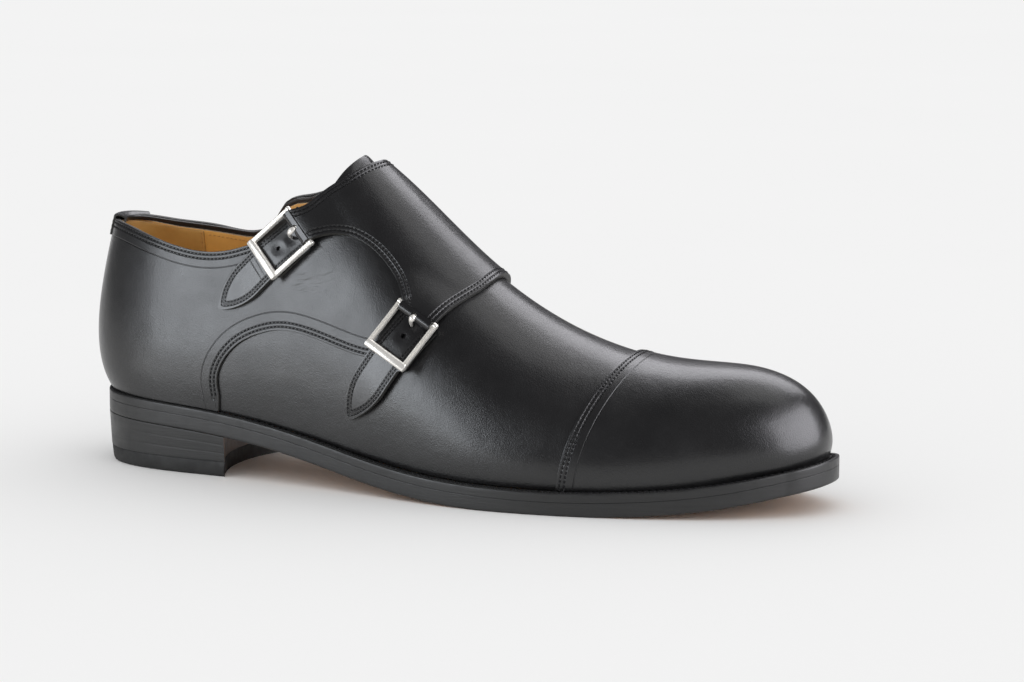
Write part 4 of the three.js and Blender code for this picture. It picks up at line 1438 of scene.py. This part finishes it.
rubber_colours = ((0.016, 0.016, 0.0155), (0.024, 0.024, 0.0235), (90, 4))
rubber_bumps = [(0.0001, 0.5, (1400, 4, 0.6))]
rubber = patterned("rubber", rubber_colours, (0.55, 0.75, (300, 3)), rubber_bumps, Specular_IOR_Level=0.4)
piece_steps = [(STACK_DRAW + 0.4, TOP_PIECE, share) for share in (1, 0.5, 0.02)]
piece_steps += [
    (STACK_DRAW + 0.25, TOP_PIECE, 0), (STACK_DRAW + 0.1, TOP_PIECE - 0.3, 0), (PIECE_DRAW - 0.3, 2.0, 0),
    (PIECE_DRAW - 0.05, 0.8, 0), (PIECE_DRAW + 0.25, 0.25, 0), (PIECE_DRAW + 0.8, 0.0, 0),
]
piece_steps += [(PIECE_DRAW + 0.8, 0.0, share) for share in (0.02, 0.5, 1)]
piece_levels = [(draw, at_height(up), share) for draw, up, share in piece_steps]
kept(heel_part("top_piece", piece_levels, rubber), "rubber", "top_piece")


# ---- Camera, floor and light ----
# A long lens low on the outer side towards the toe, a pale sweep, and large soft boxes.
TARGET = Vector((0.00357, -0.00067, 0.05))
AZIMUTH, ELEVATION, DISTANCE = 25, 9.4, 1.3


def towards(azimuth, elevation):
    """The direction from the shoe out to something at an azimuth and an elevation, in degrees."""
    a, e = math.radians(azimuth), math.radians(elevation)
    return Vector((math.sin(a) * math.cos(e), -math.cos(a) * math.cos(e), math.sin(e)))


back = towards(AZIMUTH, ELEVATION)
lens = bpy.data.cameras.new("camera")
lens.sensor_width = 36
lens.lens = 119.3
lens.shift_x, lens.shift_y = 0.0503, 0.0118
camera = bpy.data.objects.new("camera", lens)
camera.location = TARGET + back * DISTANCE
camera.rotation_euler = (-back).to_track_quat("-Z", "Y").to_euler()
bpy.context.collection.objects.link(camera)
bpy.context.scene.camera = camera
bpy.context.scene.view_settings.view_transform = "Standard"

WHITE = (1, 1, 1)
bpy.ops.mesh.primitive_plane_add(size=30)
floor = bpy.context.object
floor.name = "floor"
sweep, tree, shader, place = material("sweep", Roughness=1.0, Specular_IOR_Level=0.0)
uneven = mixed(tree, ranged(tree, noise(tree, place, 3), 0, 1), times(0.872, WHITE), times(0.878, WHITE))
tree.links.new(uneven, shader.inputs["Base Color"])
dressed(floor, sweep)

# The white room lights evenly, and what the leather mirrors is the darker room with its soft boxes.
world = bpy.data.worlds.new("room")
bpy.context.scene.world = world
world.use_nodes = True
room = world.node_tree
mirrored = node(room, "ShaderNodeBackground", {"Color": (0.15, 0.147, 0.155, 1), "Strength": 1.0})
lit = room.nodes["Background"]
lit.inputs["Color"].default_value = (*WHITE, 1)
lit.inputs["Strength"].default_value = 1.025
choice = node(room, "ShaderNodeMixShader")
room.links.new(node(room, "ShaderNodeLightPath").outputs["Is Glossy Ray"], choice.inputs[0])
room.links.new(lit.outputs[0], choice.inputs[1])
room.links.new(mirrored.outputs[0], choice.inputs[2])
room.links.new(choice.outputs[0], room.nodes["World Output"].inputs[0])


def soft_box_light(name, size, distance, azimuth, elevation, radiance, tint=WHITE):
    """A large flat light that faces the shoe, seen only in what mirrors it."""
    lamp = bpy.data.lights.new(name, "AREA")
    lamp.shape = "RECTANGLE"
    lamp.size, lamp.size_y = size
    lamp.energy = radiance * math.pi * size[0] * size[1]
    made = bpy.data.objects.new(name, lamp)
    away = towards(azimuth, elevation)
    made.location = away * distance
    made.rotation_euler = away.to_track_quat("Z", "Y").to_euler()
    lamp.color = tint
    made.visible_diffuse = False
    made.visible_camera = False
    bpy.context.collection.objects.link(made)
    return made


soft_box_light("left_box", (0.6, 0.85), 1.4, -36, 15, 5.9, (0.95, 1, 1.06))
# This one lies on the floor and shines up, as the bright sweep that the lower side mirrors.
pool = soft_box_light("pool_box", (0.4, 0.6), 0.6, -38, 0.2, 1.6)
pool.location.z = 0.002
pool.rotation_euler = (math.pi, 0, math.radians(-46))
soft_box_light("right_box", (1.35, 0.95), 1.2, 90, 22, 5.2, (1.01, 1, 1.06))
soft_box_light("back_box", (1.7, 0.75), 1.5, 190, 50, 3.7, (1.01, 1, 1.05))
soft_box_light("top_box", (1.0, 0.8), 1.5, 125, 72, 1.2)
